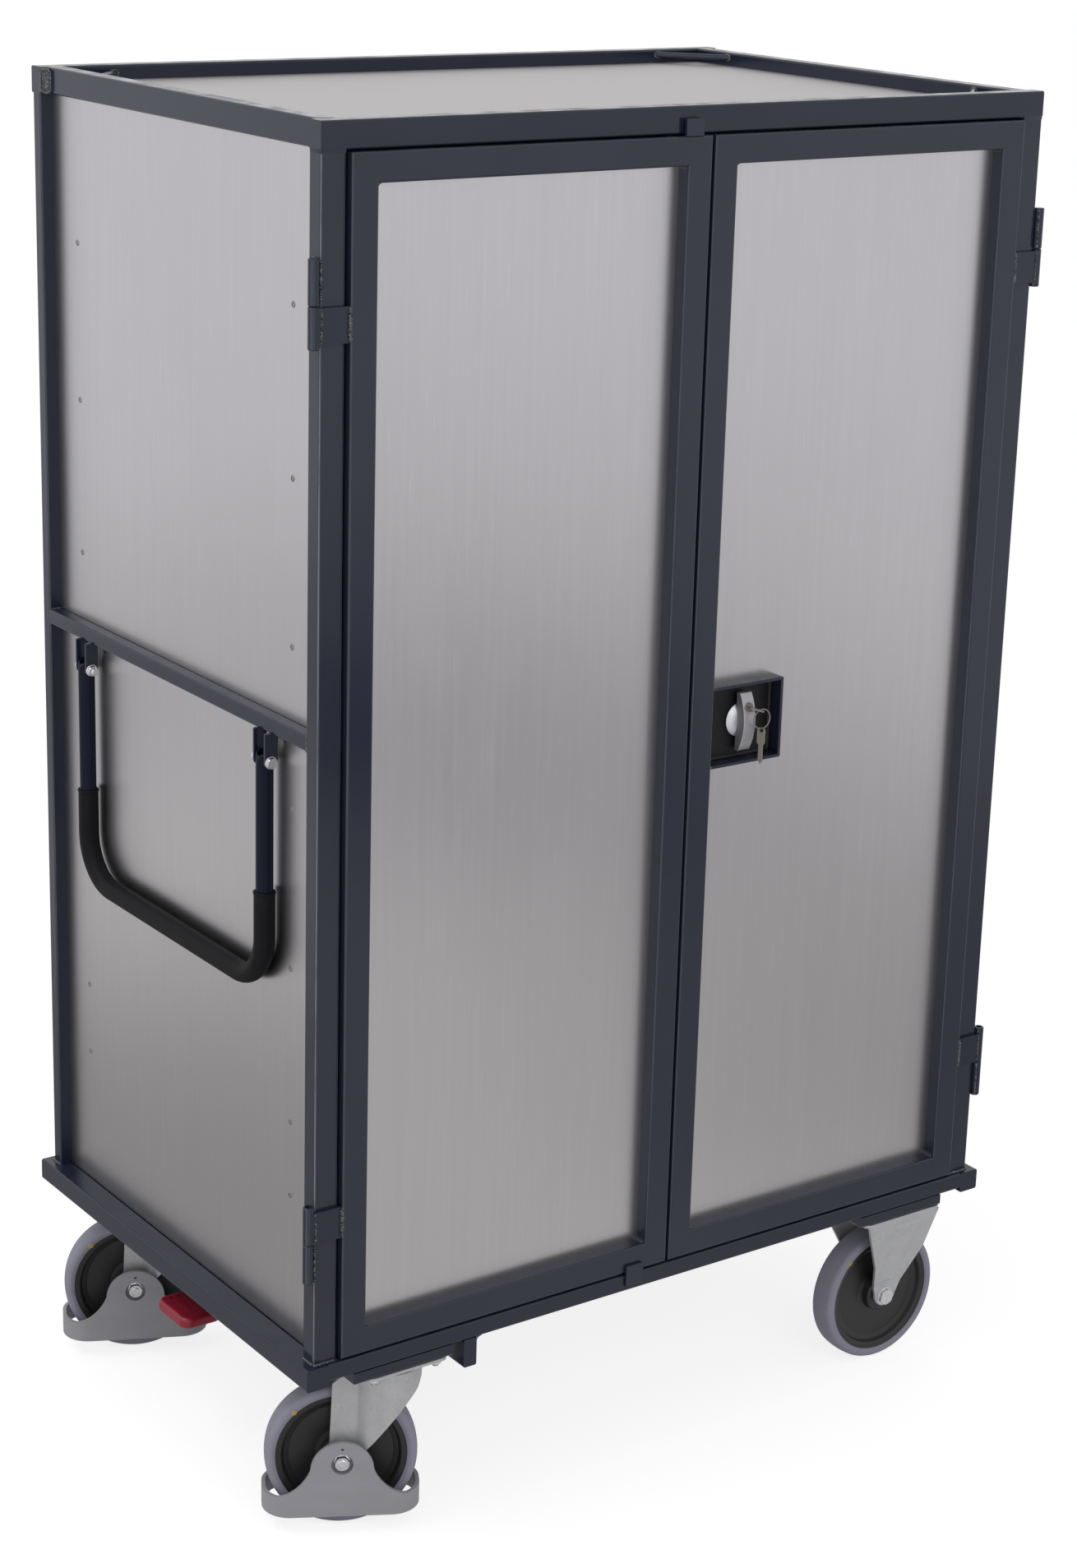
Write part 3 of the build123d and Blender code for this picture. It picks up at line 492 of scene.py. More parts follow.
class Shape:
    """Mesh of one piece, drawn in mm in the trolley's frame."""

    def __init__(self):
        self.mesh = bmesh.new()

    def ring(self, points):
        """Vertices at these points."""
        return [self.mesh.verts.new(point) for point in points]

    def skin(self, rings, closed_ends=True, loop=False):
        """Faces between rings of equal length, with the end rings closed."""
        pairs = list(zip(rings, rings[1:]))
        if loop:
            pairs.append((rings[-1], rings[0]))
        for one, two in pairs:
            for i in range(len(one)):
                j = (i + 1) % len(one)
                self.mesh.faces.new((one[i], one[j], two[j], two[i]))
        if closed_ends and not loop:
            self.mesh.faces.new(list(reversed(rings[0])))
            self.mesh.faces.new(rings[-1])

    def lathe(self, profile, centre, axis, count=24):
        """Turned form: (radius, height) pairs about an axis from a centre."""
        side, other = across(axis)
        spokes = [side * math.cos(a) + other * math.sin(a) for a in turns(count)]
        rings = []
        for radius, height in profile:
            middle = centre + axis * height
            rings.append(self.ring([middle + spoke * radius for spoke in spokes]))
        self.skin(rings)

    def hexagon(self, centre, axis, flats, height, lead):
        """Six-sided nut or head with both edges turned round, standing on its centre."""
        side, other = across(axis)
        corner = flats / math.sqrt(3)
        rings = []
        for level, keep in ((0.0, lead), (0.8, 0.0), (height - 0.8, 0.0), (height, lead)):
            points = []
            for angle in turns(24):
                wrapped = (angle + math.pi / 6) % (math.pi / 3) - math.pi / 6
                reach = min(flats / 2 / math.cos(wrapped), corner - keep)
                spoke = side * math.cos(angle) + other * math.sin(angle)
                points.append(centre + axis * level + spoke * reach)
            rings.append(self.ring(points))
        self.skin(rings)

    def bolt(self, start, axis, grip, shank, flats, head, nut, tail):
        """Hex bolt with washers: head behind its start, nut and thread beyond the grip."""
        rim = flats * 0.62
        disc = ((rim - 0.4, 0.0), (rim, 0.3), (rim, WASHER - 0.3), (rim - 0.5, WASHER))
        for place, way in ((start, -axis), (start + axis * grip, axis)):
            self.lathe(disc, place, way, 28)
        self.hexagon(start - axis * WASHER, -axis, flats, head - WASHER, 1.0)
        self.hexagon(start + axis * (grip + WASHER), axis, flats, nut - WASHER, 1.0)
        profile = [(shank, 0.0), (shank, grip)]
        level = grip + nut - 0.6
        while level < grip + nut + tail - 0.9:
            profile += [(shank, level), (shank - 0.6, level + 0.5)]
            level += 1.0
        profile += [(shank, grip + nut + tail - 0.7), (shank - 0.9, grip + nut + tail)]
        self.lathe(profile, start, axis, 20)

    def bead(self, points, radius, seed, loop=False, ripple=0.16):
        """Weld bead along a line: overlapping scales, a little uneven."""
        draw = random.Random(seed)
        path = []
        stops = list(points) + ([points[0]] if loop else [])
        for a, b in zip(stops, stops[1:]):
            steps = max(2, round((b - a).length / (radius * 0.55)))
            path += [a.lerp(b, i / steps) for i in range(steps)]
        if not loop:
            path.append(stops[-1])
        rings = []
        for i, point in enumerate(path):
            ahead = path[(i + 1) % len(path)] if loop or i + 1 < len(path) else point
            behind = path[i - 1] if loop or i else point
            side, other = across((ahead - behind).normalized())
            wave = 1 + ripple * math.sin(i * 2.1) + draw.uniform(-ripple, ripple) * 0.7
            end = 1.0 if loop else min(1.0, 0.35 + 0.3 * min(i, len(path) - 1 - i))
            reach = radius * wave * end
            spokes = [side * math.cos(a) + other * math.sin(a) for a in turns(10)]
            rings.append(self.ring([point + spoke * reach for spoke in spokes]))
        self.skin(rings, loop=loop)

    def fillet(self, corner, one, two, along, length, radius):
        """Hollow corner fill between two faces, along a line."""
        arc = [corner - (one + two) * 0.3]
        arc.append(corner + one * radius - two * 0.3)
        for i in range(7):
            angle = math.pi / 2 * i / 6
            inward = one * (1 - math.sin(angle)) + two * (1 - math.cos(angle))
            arc.append(corner + inward * radius)
        arc.append(corner + two * radius - one * 0.3)
        self.skin([self.ring(arc), self.ring([point + along * length for point in arc])])

    def piece(self, name, body, slot, material=None):
        """Finished object that rides on a body."""
        bmesh.ops.recalc_face_normals(self.mesh, faces=self.mesh.faces)
        bmesh.ops.scale(self.mesh, vec=Vector(even(MM)), verts=self.mesh.verts)
        data = bpy.data.meshes.new(name)
        self.mesh.to_mesh(data)
        self.mesh.free()
        data.shade_smooth()
        data.set_sharp_from_angle(angle=math.radians(38))
        data.materials.append(finish(material or slot))
        obj = bpy.data.objects.new(name, data)
        bpy.context.scene.collection.objects.link(obj)
        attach(obj, body)
        return obj


def rounded(x, z, radius, inset, y, steps=5):
    """Points round a rectangle with round corners, moved inwards by an inset, at a depth."""
    points = []
    low_x, high_x = x[0] + inset, x[1] - inset
    low_z, high_z = z[0] + inset, z[1] - inset
    bend = max(radius - inset, 0.4)
    corners = ((high_x, high_z, 0), (low_x, high_z, 1), (low_x, low_z, 2), (high_x, low_z, 3))
    for corner_x, corner_z, quarter in corners:
        centre_x = corner_x - bend if corner_x == high_x else corner_x + bend
        centre_z = corner_z - bend if corner_z == high_z else corner_z + bend
        for i in range(steps + 1):
            angle = math.pi / 2 * (quarter + i / steps)
            x_place, z_place = centre_x + bend * math.cos(angle), centre_z + bend * math.sin(angle)
            points.append(Vector((x_place, y, z_place)))
    return points


def wheel_places():
    """Each wheel's name, body, middle and axle direction."""
    places = []
    for name, (y, turn) in SWIVELS.items():
        spin = Matrix.Rotation(math.radians(turn), 3, "Z")
        middle = Vector((KINGPIN_X, y, WHEEL_R)) + spin @ Vector((-OFFSET, 0, 0))
        places.append(("swivel_" + name, "swivel_wheel_" + name, middle, spin @ Y_AXIS))
    for name, y in FIXED_Y.items():
        middle = Vector((FIXED_X, y, WHEEL_R))
        places.append(("fixed_" + name, "fixed_wheel_" + name, middle, Y_AXIS.copy()))
    return places


def colour_prop(label, text, default):
    """Colour that a user can change."""
    return bpy.props.FloatVectorProperty(
        name=label, description=text, default=default, size=3, subtype="COLOR", min=0.0, max=1.0
    )


def length_prop(label, text, default):
    """Length in metres that a user can change."""
    return bpy.props.FloatProperty(
        name=label, description=text, default=default, unit="LENGTH", min=0.0
    )


def power_prop(label, text, default):
    """Power of a lamp that a user can change."""
    return bpy.props.FloatProperty(
        name=label, description=text, default=default, unit="POWER", min=0.0
    )


class TrolleyColours(bpy.types.PropertyGroup):
    """Colours of the finishes."""

    frame_paint: colour_prop("Frame paint", "Powder coat of the frame", (0.0135, 0.018, 0.0365))
    panel_sheet: colour_prop("Panel sheet", "Brushed sheet of the walls", (0.508, 0.498, 0.513))
    light_sheet: colour_prop("Light sheet", "Mill sheet of top and floor", (0.43, 0.414, 0.418))
    shelf_paint: colour_prop("Shelf paint", "Powder coat of the shelves", (0.36, 0.37, 0.38))
    zinc: colour_prop("Zinc", "Plate of the swivel casters and small parts", (0.475, 0.48, 0.495))
    tyre: colour_prop("Tyre", "Soft grey rubber", (0.28, 0.277, 0.345))
    wheel_rim: colour_prop("Wheel rim", "Black moulded rim", (0.014, 0.013, 0.013))
    guard_plastic: colour_prop("Foot guard", "Grey moulded guard", (0.315, 0.316, 0.345))
    pedal_red: colour_prop("Pedal", "Red moulded pedal", (0.27, 0.006, 0.024))
    grip_rubber: colour_prop("Grip", "Black sleeve of the handle", (0.006, 0.006, 0.0075))
    lock_black: colour_prop("Lock black", "Lock plate", (0.005, 0.0055, 0.0075))
    lock_metal: colour_prop("Lock metal", "Plated rods and case of the lock", (0.6, 0.61, 0.63))
    lock_cast: colour_prop("Lock grip", "Satin cast grip of the lock", (0.62, 0.62, 0.66))
    weld_bead: colour_prop("Weld bead", "Painted welds", (0.028, 0.029, 0.038))
    rivet_metal: colour_prop("Rivet metal", "Dull rivets of the end sheets", (0.24, 0.235, 0.23))
    key_metal: colour_prop("Key metal", "Dull keys", (0.25, 0.235, 0.2))
    # Painted light: these three are darker and lighter copies of the frame paint, with shade on the
    # handle and light on the posts and doors.
    handle_paint: colour_prop("Handle paint", "Dull coat of the handle", (0.0065, 0.0095, 0.022))
    post_paint: colour_prop("Post paint", "Coat of the front posts", (0.0205, 0.0245, 0.043))
    door_paint: colour_prop("Door paint", "Coat of the door frames", (0.021, 0.0255, 0.045))
    bolt_metal: colour_prop("Bolt metal", "Bright bolts and nuts", (0.66, 0.67, 0.69))
    # Painted light: the fixed forks' zinc is a lighter copy of the swivel casters' zinc.
    fork_zinc: colour_prop("Fixed fork", "Brighter plate of the fixed forks", (0.5, 0.51, 0.53))
    marking_paint: colour_prop("Tyre mark", "Dot on each tyre", (0.5, 0.36, 0.1))


class TrolleySizes(bpy.types.PropertyGroup):
    """Sizes of the small fittings."""

    rivet: length_prop("Rivet", "Radius of a rivet head", 0.0042)
    bead: length_prop("Weld bead", "Radius of a frame weld", 0.0021)
    corner: length_prop("Door corner", "Radius of the filled inner corners of a door", 0.006)
    border: length_prop("Lock border", "Width of the raised border of the lock plate", 0.005)
    tyre_mark: length_prop("Tyre mark", "Radius of the dot on a tyre", 0.004)


class TrolleyStage(bpy.types.PropertyGroup):
    """Camera and light."""

    lens: bpy.props.FloatProperty(
        name="Lens", description="Focal length", default=70.89, unit="CAMERA"
    )
    side_power: power_prop("Side light", "Power of the soft side light", 46.0)
    front_power: power_prop("Front light", "Power of the soft front light", 30.0)
    sky: bpy.props.FloatProperty(
        name="Surround", description="Light of the white surround", default=0.62, subtype="FACTOR"
    )


class TROLLEY_OT_finishes(bpy.types.Operator):
    """Make the finishes and put them on the frame's own parts"""

    bl_idname = "trolley.finishes"
    bl_label = "Finishes"

    def execute(self, context):
        colours = context.scene.trolley_colours
        for slot, maker in MAKERS.items():
            material = bpy.data.materials.new("trolley_" + slot)
            material.use_nodes = True
            maker(Recipe(material.node_tree), getattr(colours, slot))
        for name, obj in NODES.items():
            obj.data.materials.clear()
            obj.data.materials.append(finish(OWN_FINISH.get(name, SLOTS[name])))
        return {"FINISHED"}


class TROLLEY_OT_rivets(bpy.types.Operator):
    """Rivets that hold the shelf rails behind the end sheets"""

    bl_idname = "trolley.rivets"
    bl_label = "End rivets"

    def execute(self, context):
        radius = context.scene.trolley_sizes.rivet / MM
        dome = [(radius, -0.3), (radius, 0.15)]
        dome += [(radius * math.cos(a), 0.15 + 0.7 * math.sin(a)) for a in (0.3, 0.6, 0.9)]
        dome += [(radius * 0.5, 0.75), (radius * 0.44, -0.2)]
        shape = Shape()
        for s in SIDES:
            for y in (-RIVET_Y, RIVET_Y):
                for z in RIVET_Z:
                    shape.lathe(dome, Vector((s * SIDE_FACE, y, z)), X_AXIS * s, 18)
        shape.piece("end_rivets", "cabinet", "panel_sheet", "rivet_metal")
        return {"FINISHED"}


class TROLLEY_OT_frame_welds(bpy.types.Operator):
    """Welds of posts, rim, rails and handle bars, and dark strips in the gaps at the foot of the
    sheets as painted shade
    """

    bl_idname = "trolley.frame_welds"
    bl_label = "Frame welds"

    def execute(self, context):
        radius = context.scene.trolley_sizes.bead / MM
        feet = Shape()
        for s in SIDES:
            near, far = FRONT_POST_Y
            front = [(FRONT_POST_X, near), (POST_X, near), (POST_X, far)]
            near, far = BACK_POST_Y
            back = [(POST_X, near), (POST_X, far), (BACK_POST_X, far)]
            for count, outline in enumerate((front, back)):
                points = [Vector((s * x, y, BASE_TOP)) for x, y in outline]
                feet.bead(points, radius, 11 + s + count * 5)
        feet.piece("post_foot_welds", "cabinet", "frame_paint", "weld_bead")
        rim = Shape()
        for s in SIDES:
            for t in SIDES:
                x, y = s * RIM_OUT, t * RIM_INNER_Y
                rim.bead(upright(x, y, RIM_LOW, RIM_TOP - 3), radius * 1.2, 31 + s + 3 * t)
                reach = 9.0 if t > 0 else 4.0
                corner = Vector((x, y, RIM_LOW + 0.5))
                rim.fillet(corner, X_AXIS * s, Y_AXIS * -t, Z_AXIS, 33, reach)
                leg, height = CORNER_RODS[s, t]
                ends = ((RIM_IN, RIM_INNER_Y - leg, Y_AXIS), (RIM_IN - leg, RIM_INNER_Y, X_AXIS))
                for x, y, flat in ends:
                    middle = Vector((s * x, t * y, height))
                    long, tall = flat * 6.0, Z_AXIS * 4.3
                    oval = [long * math.cos(a) + tall * math.sin(a) for a in turns(12)]
                    rim.bead([middle + spoke for spoke in oval], 1.3, 41 + s + 3 * t, True)
            loop = ((550, 334.6, 4), (550, 334.6, 28), (547.5, 331.5, 31), (543.7, 327, 31))
            loop += ((541.3, 324, 28), (541.3, 324, 4), (543.7, 327, 1.5), (547.5, 331.5, 1.5))
            rim.bead([Vector((s * x, y, RIM_LOW + z)) for x, y, z in loop], 1.4, 51 + s, True, 0.1)
        rim.piece("rim_welds", "cabinet", "frame_paint", "weld_bead")
        rails = Shape()
        for s in SIDES:
            near, far = SIDE_FACE + 1, POST_X - 1
            low, high = MID_RAIL
            for y in (FRONT_POST_Y[1], BACK_POST_Y[0]):
                face = [(near, high), (far, high), (far, low), (near, low)]
                rails.bead([Vector((s * x, y, z)) for x, z in face], 1.3, 61 + s)
            for side in SIDES:
                y = s * HANDLE_Y + side * BAR_Y
                rails.bead([Vector((x, y, MID_RAIL[0])) for x in BAR_X], 1.2, 71 + s + side)
        stub = Vector((CROSS_RIGHT, -BASE_Y + 1, LONG_RAIL_LOW))
        rails.fillet(stub, X_AXIS, -Z_AXIS, Y_AXIS, 22, 8.0)
        rails.piece("rail_welds", "cabinet", "frame_paint", "weld_bead")
        # Painted shade: dark strips fill the gaps at the foot of the sheets, so that no light shows
        # through them.
        shade_strips = Shape()
        for s in SIDES:
            rings = []
            for y in (FRONT_POST_Y[1], BACK_POST_Y[0]):
                rings.append(shade_strips.ring([Vector((s * x, y, z)) for x, z in END_SHADE_STRIP]))
            shade_strips.skin(rings)
        for section, reach in ((BACK_SHADE_STRIP, BACK_SHADE_STRIP_X), (FRONT_SHADE_STRIP, FRONT_SHADE_STRIP_X)):
            rings = [shade_strips.ring([Vector((s * reach, y, z)) for y, z in section]) for s in SIDES]
            shade_strips.skin(rings)
        shade_strips.piece("sill_seals", "cabinet", "frame_paint")
        joints = Shape()
        outline = ((517.5, -360.03), (548.6, -360.03), (550.0, -359.5))
        outline += ((550.53, -358.0), (550.53, -336.0), (517.5, -336.0))
        for s in SIDES:
            rings = []
            for z in (RIM_LOW - 2.6, RIM_LOW + 2.6):
                rings.append(joints.ring([Vector((s * x, y, z)) for x, y in outline]))
            joints.skin(rings)
        joints.piece("post_joint_fills", "cabinet", "frame_paint")
        return {"FINISHED"}


class TROLLEY_OT_door_welds(bpy.types.Operator):
    """Filled inner corners of the doors, and the welds of hinges and lock box"""

    bl_idname = "trolley.door_welds"
    bl_label = "Door welds"

    def execute(self, context):
        corner = context.scene.trolley_sizes.corner / MM
        depth = DOOR_SHEET - DOOR_FRONT - 3
        for s, door in ((-1, "left_door"), (1, "right_door")):
            fills = Shape()
            for x, way_x in ((s * (DOOR_IN + DOOR_TUBE), s), (s * (DOOR_OUT - DOOR_TUBE), -s)):
                for z, way_z in ((DOOR_Z[0] + DOOR_TUBE, 1), (DOOR_Z[1] - DOOR_TUBE, -1)):
                    start = Vector((x, DOOR_FRONT + 3, z))
                    fills.fillet(start, X_AXIS * way_x, Z_AXIS * way_z, Y_AXIS, depth, corner)
            fills.piece(door + "_corner_fills", door, "frame_paint")
            beads = Shape()
            for count, (post_z, strap_z) in enumerate(HINGE_HALVES):
                low, high = strap_z[0] + 1, strap_z[1] - 1
                line = upright(s * DOOR_OUT, -366.2, low, high)
                beads.bead(line, 2.6, 81 + count + s, ripple=0.3)
                line = upright(s * (HINGE_X - BARREL_R + 0.6), -365.4, low, high)
                beads.bead(line, 1.3, 91 + count + s, ripple=0.4)
            if s > 0:
                for z in LOCK_BOX_Z:
                    inner = z + (2 if z == LOCK_BOX_Z[0] else -2)
                    line = upright(LOCK_BOX_X[0], DOOR_FRONT + 1.2, inner - 2, inner + 2)
                    beads.bead(line, 1.6, 101 + int(z))
            beads.piece(door + "_welds", door, "frame_paint", "weld_bead")
        posts = Shape()
        for s in SIDES:
            for count, ((low, high), strap_z) in enumerate(HINGE_HALVES):
                line = upright(s * (POST_X + 4.5), -349.5, low + 3, high - 3)
                posts.bead(line, 1.5, 111 + count + s, ripple=0.35)
                line = upright(s * (POST_X + 1.6), -364.6, low + 2, high - 2)
                posts.bead(line, 1.5, 131 + count + s, ripple=0.45)
                line = [Vector((s * (POST_X + 1), y, high - 2)) for y in (-357, -344)]
                posts.bead(line, 2.0, 121 + count + s)
        posts.piece("hinge_post_welds", "cabinet", "frame_paint", "weld_bead")
        return {"FINISHED"}


class TROLLEY_OT_fasteners(bpy.types.Operator):
    """Bolts, nuts and washers of handle and casters"""

    bl_idname = "trolley.fasteners"
    bl_label = "Fasteners"

    def execute(self, context):
        pivots = Shape()
        for s in SIDES:
            start = Vector((HANDLE_X, s * (HANDLE_Y + 14.7), PIVOT_Z))
            pivots.bolt(start, Y_AXIS * -s, 29.4, *SMALL_BOLT)
        bolts = pivots.piece("handle_pivot_set", "cabinet", "zinc", "bolt_metal")
        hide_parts("handle_pivot_bolts")
        plates = Shape()
        rows = [(KINGPIN_X, y, SWIVEL_BOLT) for y, turn in SWIVELS.values()]
        rows += [(FIXED_X, y, FIXED_BOLT) for y in FIXED_Y.values()]
        for x, y, (along, across) in rows:
            for i in SIDES:
                for j in SIDES:
                    seat = Vector((x + i * along, y + j * across, BOLT_SEAT))
                    plates.bolt(seat, -Z_AXIS, 8.0, *SMALL_BOLT)
        bolts = plates.piece("caster_bolt_set", "cabinet", "zinc", "bolt_metal")
        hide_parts("caster_bolts")
        fixed = Shape()
        for name, body, middle, axle in wheel_places():
            if name.startswith("fixed"):
                fixed.bolt(middle - axle * 27, axle, 54.0, *FIXED_AXLE)
                continue
            swivel = Shape()
            swivel.bolt(middle + axle * 36, -axle, 72.0, *SWIVEL_AXLE)
            bolts = swivel.piece(name + "_axle_set", name, "zinc", "bolt_metal")
            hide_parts("swivel_axle_" + name.split("_")[1])
        bolts = fixed.piece("fixed_axle_set", "cabinet", "zinc", "bolt_metal")
        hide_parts("fixed_axles")
        return {"FINISHED"}


class TROLLEY_OT_wheel_marks(bpy.types.Operator):
    """Moulding lines and the marking dot on each tyre"""

    bl_idname = "trolley.wheel_marks"
    bl_label = "Tyre lines and marks"

    def execute(self, context):
        mark = context.scene.trolley_sizes.tyre_mark / MM
        for name, body, middle, axle in wheel_places():
            forward = axle.cross(Z_AXIS)
            lines = Shape()
            for side in SIDES:
                for radius, depth in TYRE_LINES:
                    steps = ((-0.5, -0.5), (-0.3, 0.25), (0.3, 0.25), (0.5, -0.5))
                    profile = [(radius + wide, side * (depth + proud)) for wide, proud in steps]
                    rings = []
                    for angle in turns(96):
                        spoke = forward * math.cos(angle) + Z_AXIS * math.sin(angle)
                        points = [middle + spoke * r + axle * d for r, d in profile]
                        rings.append(lines.ring(points))
                    lines.skin(rings, loop=True)
            lines.piece(name + "_tyre_lines", body, "tyre")
            dot = Shape()
            spoke = Z_AXIS * math.sin(MARK_ANGLE) - forward * math.cos(MARK_ANGLE)
            tilt = (-axle - spoke * 0.35).normalized()
            drop = ((mark, -0.6), (mark, 0.1), (mark * 0.85, 0.35), (mark * 0.4, 0.4))
            dot.lathe(drop, middle + spoke * MARK_R - axle * MARK_DEPTH, tilt, 20)
            dot.piece(name + "_tyre_mark", body, "tyre", "marking_paint")
        return {"FINISHED"}


class TROLLEY_OT_grip_lips(bpy.types.Operator):
    """Rolled lips at the ends of the handle's sleeve"""

    bl_idname = "trolley.grip_lips"
    bl_label = "Grip lips"

    def execute(self, context):
        lips = Shape()
        profile = ((11.1, -3.0), (13.4, -3.0), (14.2, -2.0), (14.4, -0.8))
        profile += ((14.1, 0.6), (13.2, 1.3), (11.9, 1.3), (11.1, 0.6))
        for s in SIDES:
            lips.lathe(profile, Vector((HANDLE_X, s * HANDLE_Y, GRIP_TOP)), Z_AXIS, 32)
        lips.piece("grip_lips", "handle", "grip_rubber")
        return {"FINISHED"}


class TROLLEY_OT_lock_fittings(bpy.types.Operator):
    """Raised border of the lock plate"""

    bl_idname = "trolley.lock_fittings"
    bl_label = "Lock fittings"

    def execute(self, context):
        border = context.scene.trolley_sizes.border / MM
        frame_x = (LOCK_BOX_X[0] + 0.3, LOCK_BOX_X[1] - 4.3)
        frame_z = (LOCK_BOX_Z[0] + 4.3, LOCK_BOX_Z[1] - 4.3)
        shape = Shape()
        steps = ((0.0, 0.4), (0.0, -1.6), (0.6, -2.0))
        steps += ((border * 0.55, -2.0), (border, -0.4), (border, 0.4))
        rings = []
        for inset, rise in steps:
            rings.append(shape.ring(rounded(frame_x, frame_z, 3.0, inset, PLATE_FRONT + rise)))
        shape.skin(rings, loop=True)
        shape.piece("lock_plate_border", "right_door", "lock_black")
        return {"FINISHED"}


def stage_floor(recipe):
    """White floor with a soft shadow; reflections see a painted glow instead, dimmer near the
    trolley, with painted shade in some areas and two painted bright strips.
    """
    camera, glossy, through = recipe.rays()

    def away(east, north):
        """Distance from a spot on the floor."""
        return recipe.vector("DISTANCE", recipe.place(), (east, north, 0.0), out="Value")

    # Painted shade: the glow that reflections see is dimmer near the trolley, darker in the painted
    # shade areas, and warmer near than far off.
    far = away(0.0, 0.0)
    level = 0.74 + far.rise(1.2, 3.4) * 0.12 + far.rise(3.0, 7.0) * 0.14
    for east, north, outer, inner, depth in PAINTED_FLOOR_SHADE:
        level = level - away(east, north).rise(outer, inner) * depth
    tone = recipe.mix(far.rise(1.0, 7.0), shade((1.0, 0.972, 0.968)), shade((0.985, 0.98, 1.0)))
    tone = recipe.mix(level, BLACK, tone)
    mirrored = recipe.node("ShaderNodeEmission", sockets={"Color": tone, "Strength": 1.0})
    # Painted light: two strips along the floor glow for reflections only.
    way = recipe.vector("NORMALIZE", recipe.vector("SUBTRACT", recipe.place(), STRIP_START))
    near = [recipe.vector("DOT_PRODUCT", way, aim, out="Value") for aim in STRIP_AIMS]
    strips = away(*STRIP_START[:2]).rise(0.3, 0.7) * sum(side.rise(0.9945, 0.998) for side in near)
    bright = {"Color": shade((0.93, 0.96, 1.0)), "Strength": 2.2}
    strip = recipe.node("ShaderNodeEmission", sockets=bright)
    mirrored = recipe.node("ShaderNodeMixShader", sockets={0: strips, 1: mirrored, 2: strip})
    plain = recipe.node("ShaderNodeBsdfDiffuse", sockets={"Color": shade(even(0.8))})
    shadow = recipe.node("ShaderNodeBsdfDiffuse", sockets={"Color": shade(even(0.34))})
    glow = recipe.node("ShaderNodeEmission", sockets={"Color": WHITE, "Strength": 0.8})
    shown = recipe.node("ShaderNodeAddShader", sockets={0: shadow, 1: glow})
    seen = recipe.node("ShaderNodeMixShader", sockets={0: glossy + through, 1: plain, 2: mirrored})
    whole = recipe.node("ShaderNodeMixShader", sockets={0: camera, 1: seen, 2: shown})
    recipe.node("ShaderNodeOutputMaterial", sockets={"Surface": whole}, out=None)


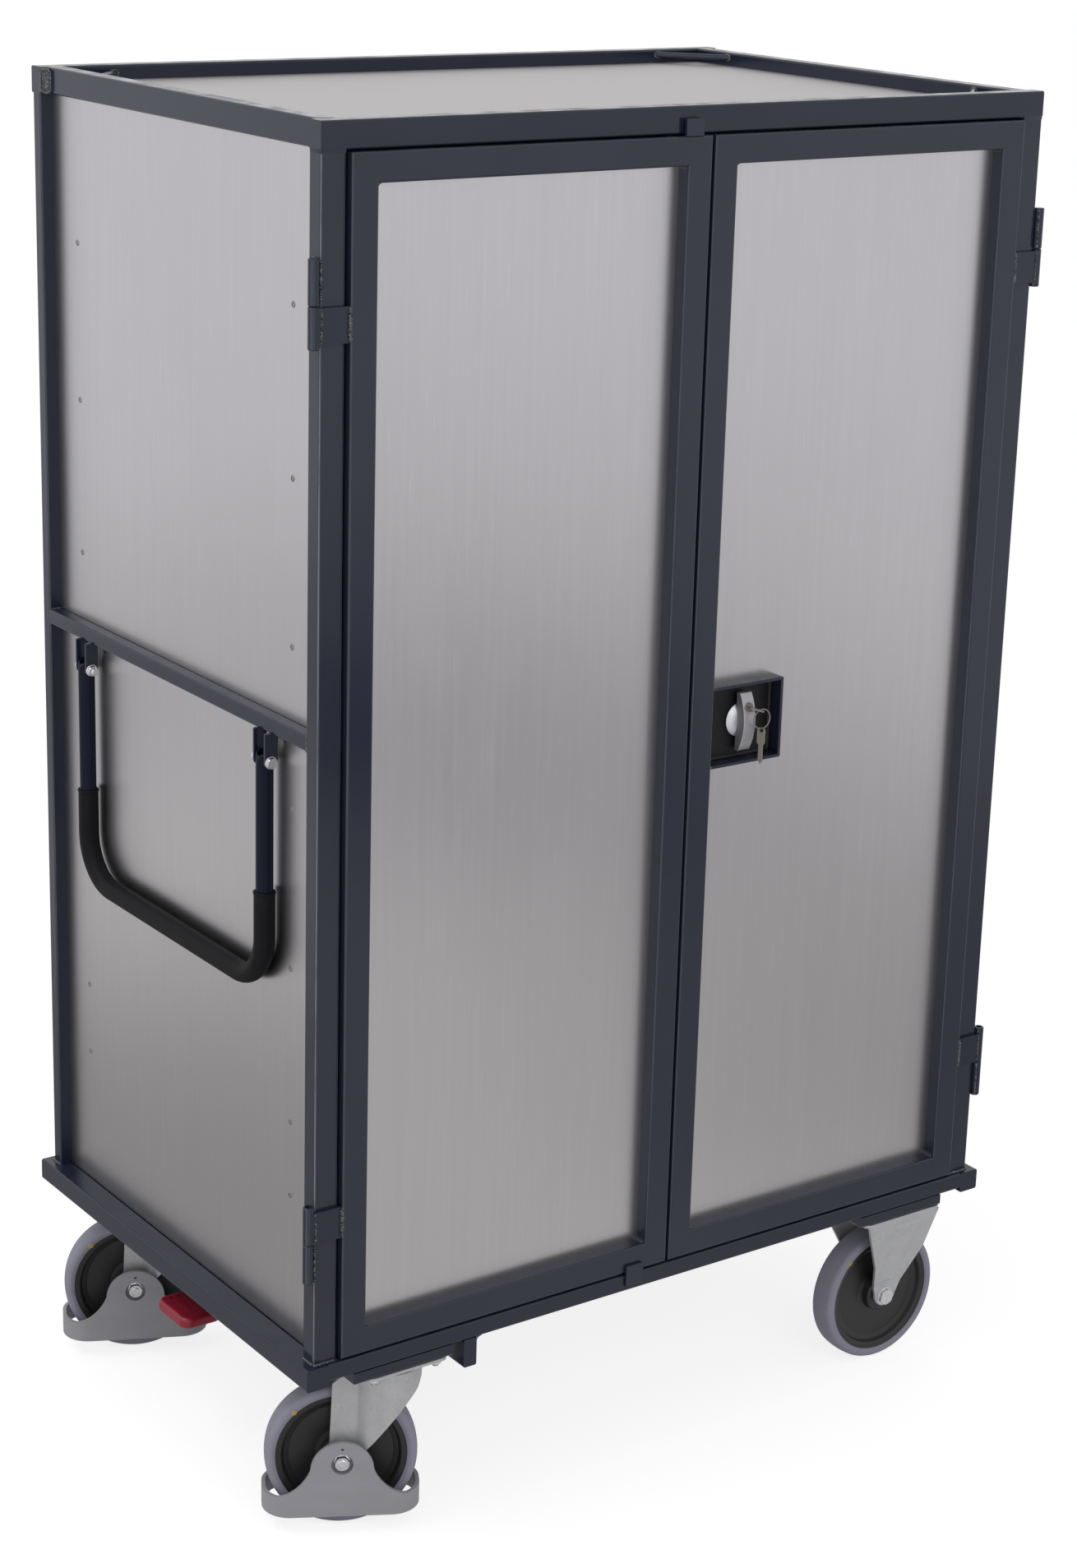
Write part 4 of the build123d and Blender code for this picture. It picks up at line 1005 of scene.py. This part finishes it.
class TROLLEY_OT_stage(bpy.types.Operator):
    """White floor, soft light and the camera"""

    bl_idname = "trolley.stage"
    bl_label = "Stage"

    def add_floor(self, scene):
        """White floor under the trolley."""
        data = bpy.data.meshes.new("studio_floor")
        corners = [(-1, -1), (1, -1), (1, 1), (-1, 1)]
        points = [(x * FLOOR_REACH, y * FLOOR_REACH, 0) for x, y in corners]
        data.from_pydata(points, [], [(0, 1, 2, 3)])
        material = bpy.data.materials.new("studio_white")
        material.use_nodes = True
        stage_floor(Recipe(material.node_tree))
        data.materials.append(material)
        floor = bpy.data.objects.new("studio_floor", data)
        scene.collection.objects.link(floor)

    def add_surround(self, scene, sky):
        """White surround that lights softly and shows at full strength."""
        world = bpy.data.worlds.new("studio_surround")
        world.use_nodes = True
        scene.world = world
        recipe = Recipe(world.node_tree)
        shown = sum(recipe.rays()).rise(0.0, 1.0)
        soft, full = (
            recipe.node("ShaderNodeBackground", sockets={"Color": WHITE, "Strength": strength})
            for strength in (sky, 1.0)
        )
        glow = recipe.node("ShaderNodeMixShader", sockets={0: shown, 1: soft, 2: full})
        recipe.node("ShaderNodeOutputWorld", sockets={"Surface": glow}, out=None)

    def add_light(self, scene, name, place, power):
        """Soft square light that points at the trolley."""
        lamp = bpy.data.lights.new(name, "AREA")
        lamp.size = LIGHT_SIZE
        lamp.energy = power
        obj = bpy.data.objects.new(name, lamp)
        obj.location = place
        aim = Vector(LIGHT_AIM) - Vector(place)
        obj.rotation_euler = aim.to_track_quat("-Z", "Y").to_euler()
        scene.collection.objects.link(obj)

    def add_camera(self, scene, lens):
        """Camera at the eye's place, turned, tipped and rolled."""
        camera = bpy.data.cameras.new("camera")
        camera.lens = lens
        camera.sensor_width = 36.0
        camera.shift_x, camera.shift_y = EYE_SHIFT
        camera.clip_end = 100.0
        view = bpy.data.objects.new("camera", camera)
        turn, tip, roll = (math.radians(angle) for angle in (EYE_TURN, EYE_TIP, EYE_ROLL))
        level = Vector((math.sin(turn), -math.cos(turn), 0))
        back = level * math.cos(tip) + Z_AXIS * math.sin(tip)
        right = Vector((math.cos(turn), math.sin(turn), 0))
        up = back.cross(right)
        rolled_right = right * math.cos(roll) + up * math.sin(roll)
        rolled_up = up * math.cos(roll) - right * math.sin(roll)
        matrix = Matrix((rolled_right, rolled_up, back)).transposed().to_4x4()
        matrix.translation = Vector(EYE)
        view.matrix_world = matrix
        scene.collection.objects.link(view)
        scene.camera = view

    def execute(self, context):
        scene = context.scene
        stage = scene.trolley_stage
        self.add_floor(scene)
        self.add_surround(scene, stage.sky)
        self.add_light(scene, "side_light", SIDE_LIGHT, stage.side_power)
        self.add_light(scene, "front_light", FRONT_LIGHT, stage.front_power)
        self.add_camera(scene, stage.lens)
        scene.view_settings.view_transform = "Standard"
        return {"FINISHED"}


STEPS = (
    TROLLEY_OT_finishes,
    TROLLEY_OT_rivets,
    TROLLEY_OT_frame_welds,
    TROLLEY_OT_door_welds,
    TROLLEY_OT_fasteners,
    TROLLEY_OT_wheel_marks,
    TROLLEY_OT_grip_lips,
    TROLLEY_OT_lock_fittings,
    TROLLEY_OT_stage,
)
GROUPS = {
    "trolley_colours": TrolleyColours,
    "trolley_sizes": TrolleySizes,
    "trolley_stage": TrolleyStage,
}


class TROLLEY_PT_panel(bpy.types.Panel):
    """Steps and values of the trolley's looks"""

    bl_idname = "TROLLEY_PT_panel"
    bl_label = "Cabinet trolley"
    bl_space_type = "VIEW_3D"
    bl_region_type = "UI"
    bl_category = "Trolley"

    def draw(self, context):
        for step in STEPS:
            self.layout.operator(step.bl_idname)
        for name, group in GROUPS.items():
            box = self.layout.box()
            for key in group.__annotations__:
                box.prop(getattr(context.scene, name), key)


def register():
    """Register the classes and the scene's values."""
    for name, group in GROUPS.items():
        bpy.utils.register_class(group)
        setattr(bpy.types.Scene, name, bpy.props.PointerProperty(type=group))
    for step in STEPS + (TROLLEY_PT_panel,):
        bpy.utils.register_class(step)


def unregister():
    """Remove what register added."""
    for step in reversed(STEPS + (TROLLEY_PT_panel,)):
        bpy.utils.unregister_class(step)
    for name, group in GROUPS.items():
        delattr(bpy.types.Scene, name)
        bpy.utils.unregister_class(group)


def main():
    """Register and run each step in order."""
    register()
    for step in STEPS:
        group, call = step.bl_idname.split(".")
        getattr(getattr(bpy.ops, group), call)()


if __name__ == "__main__":
    main()
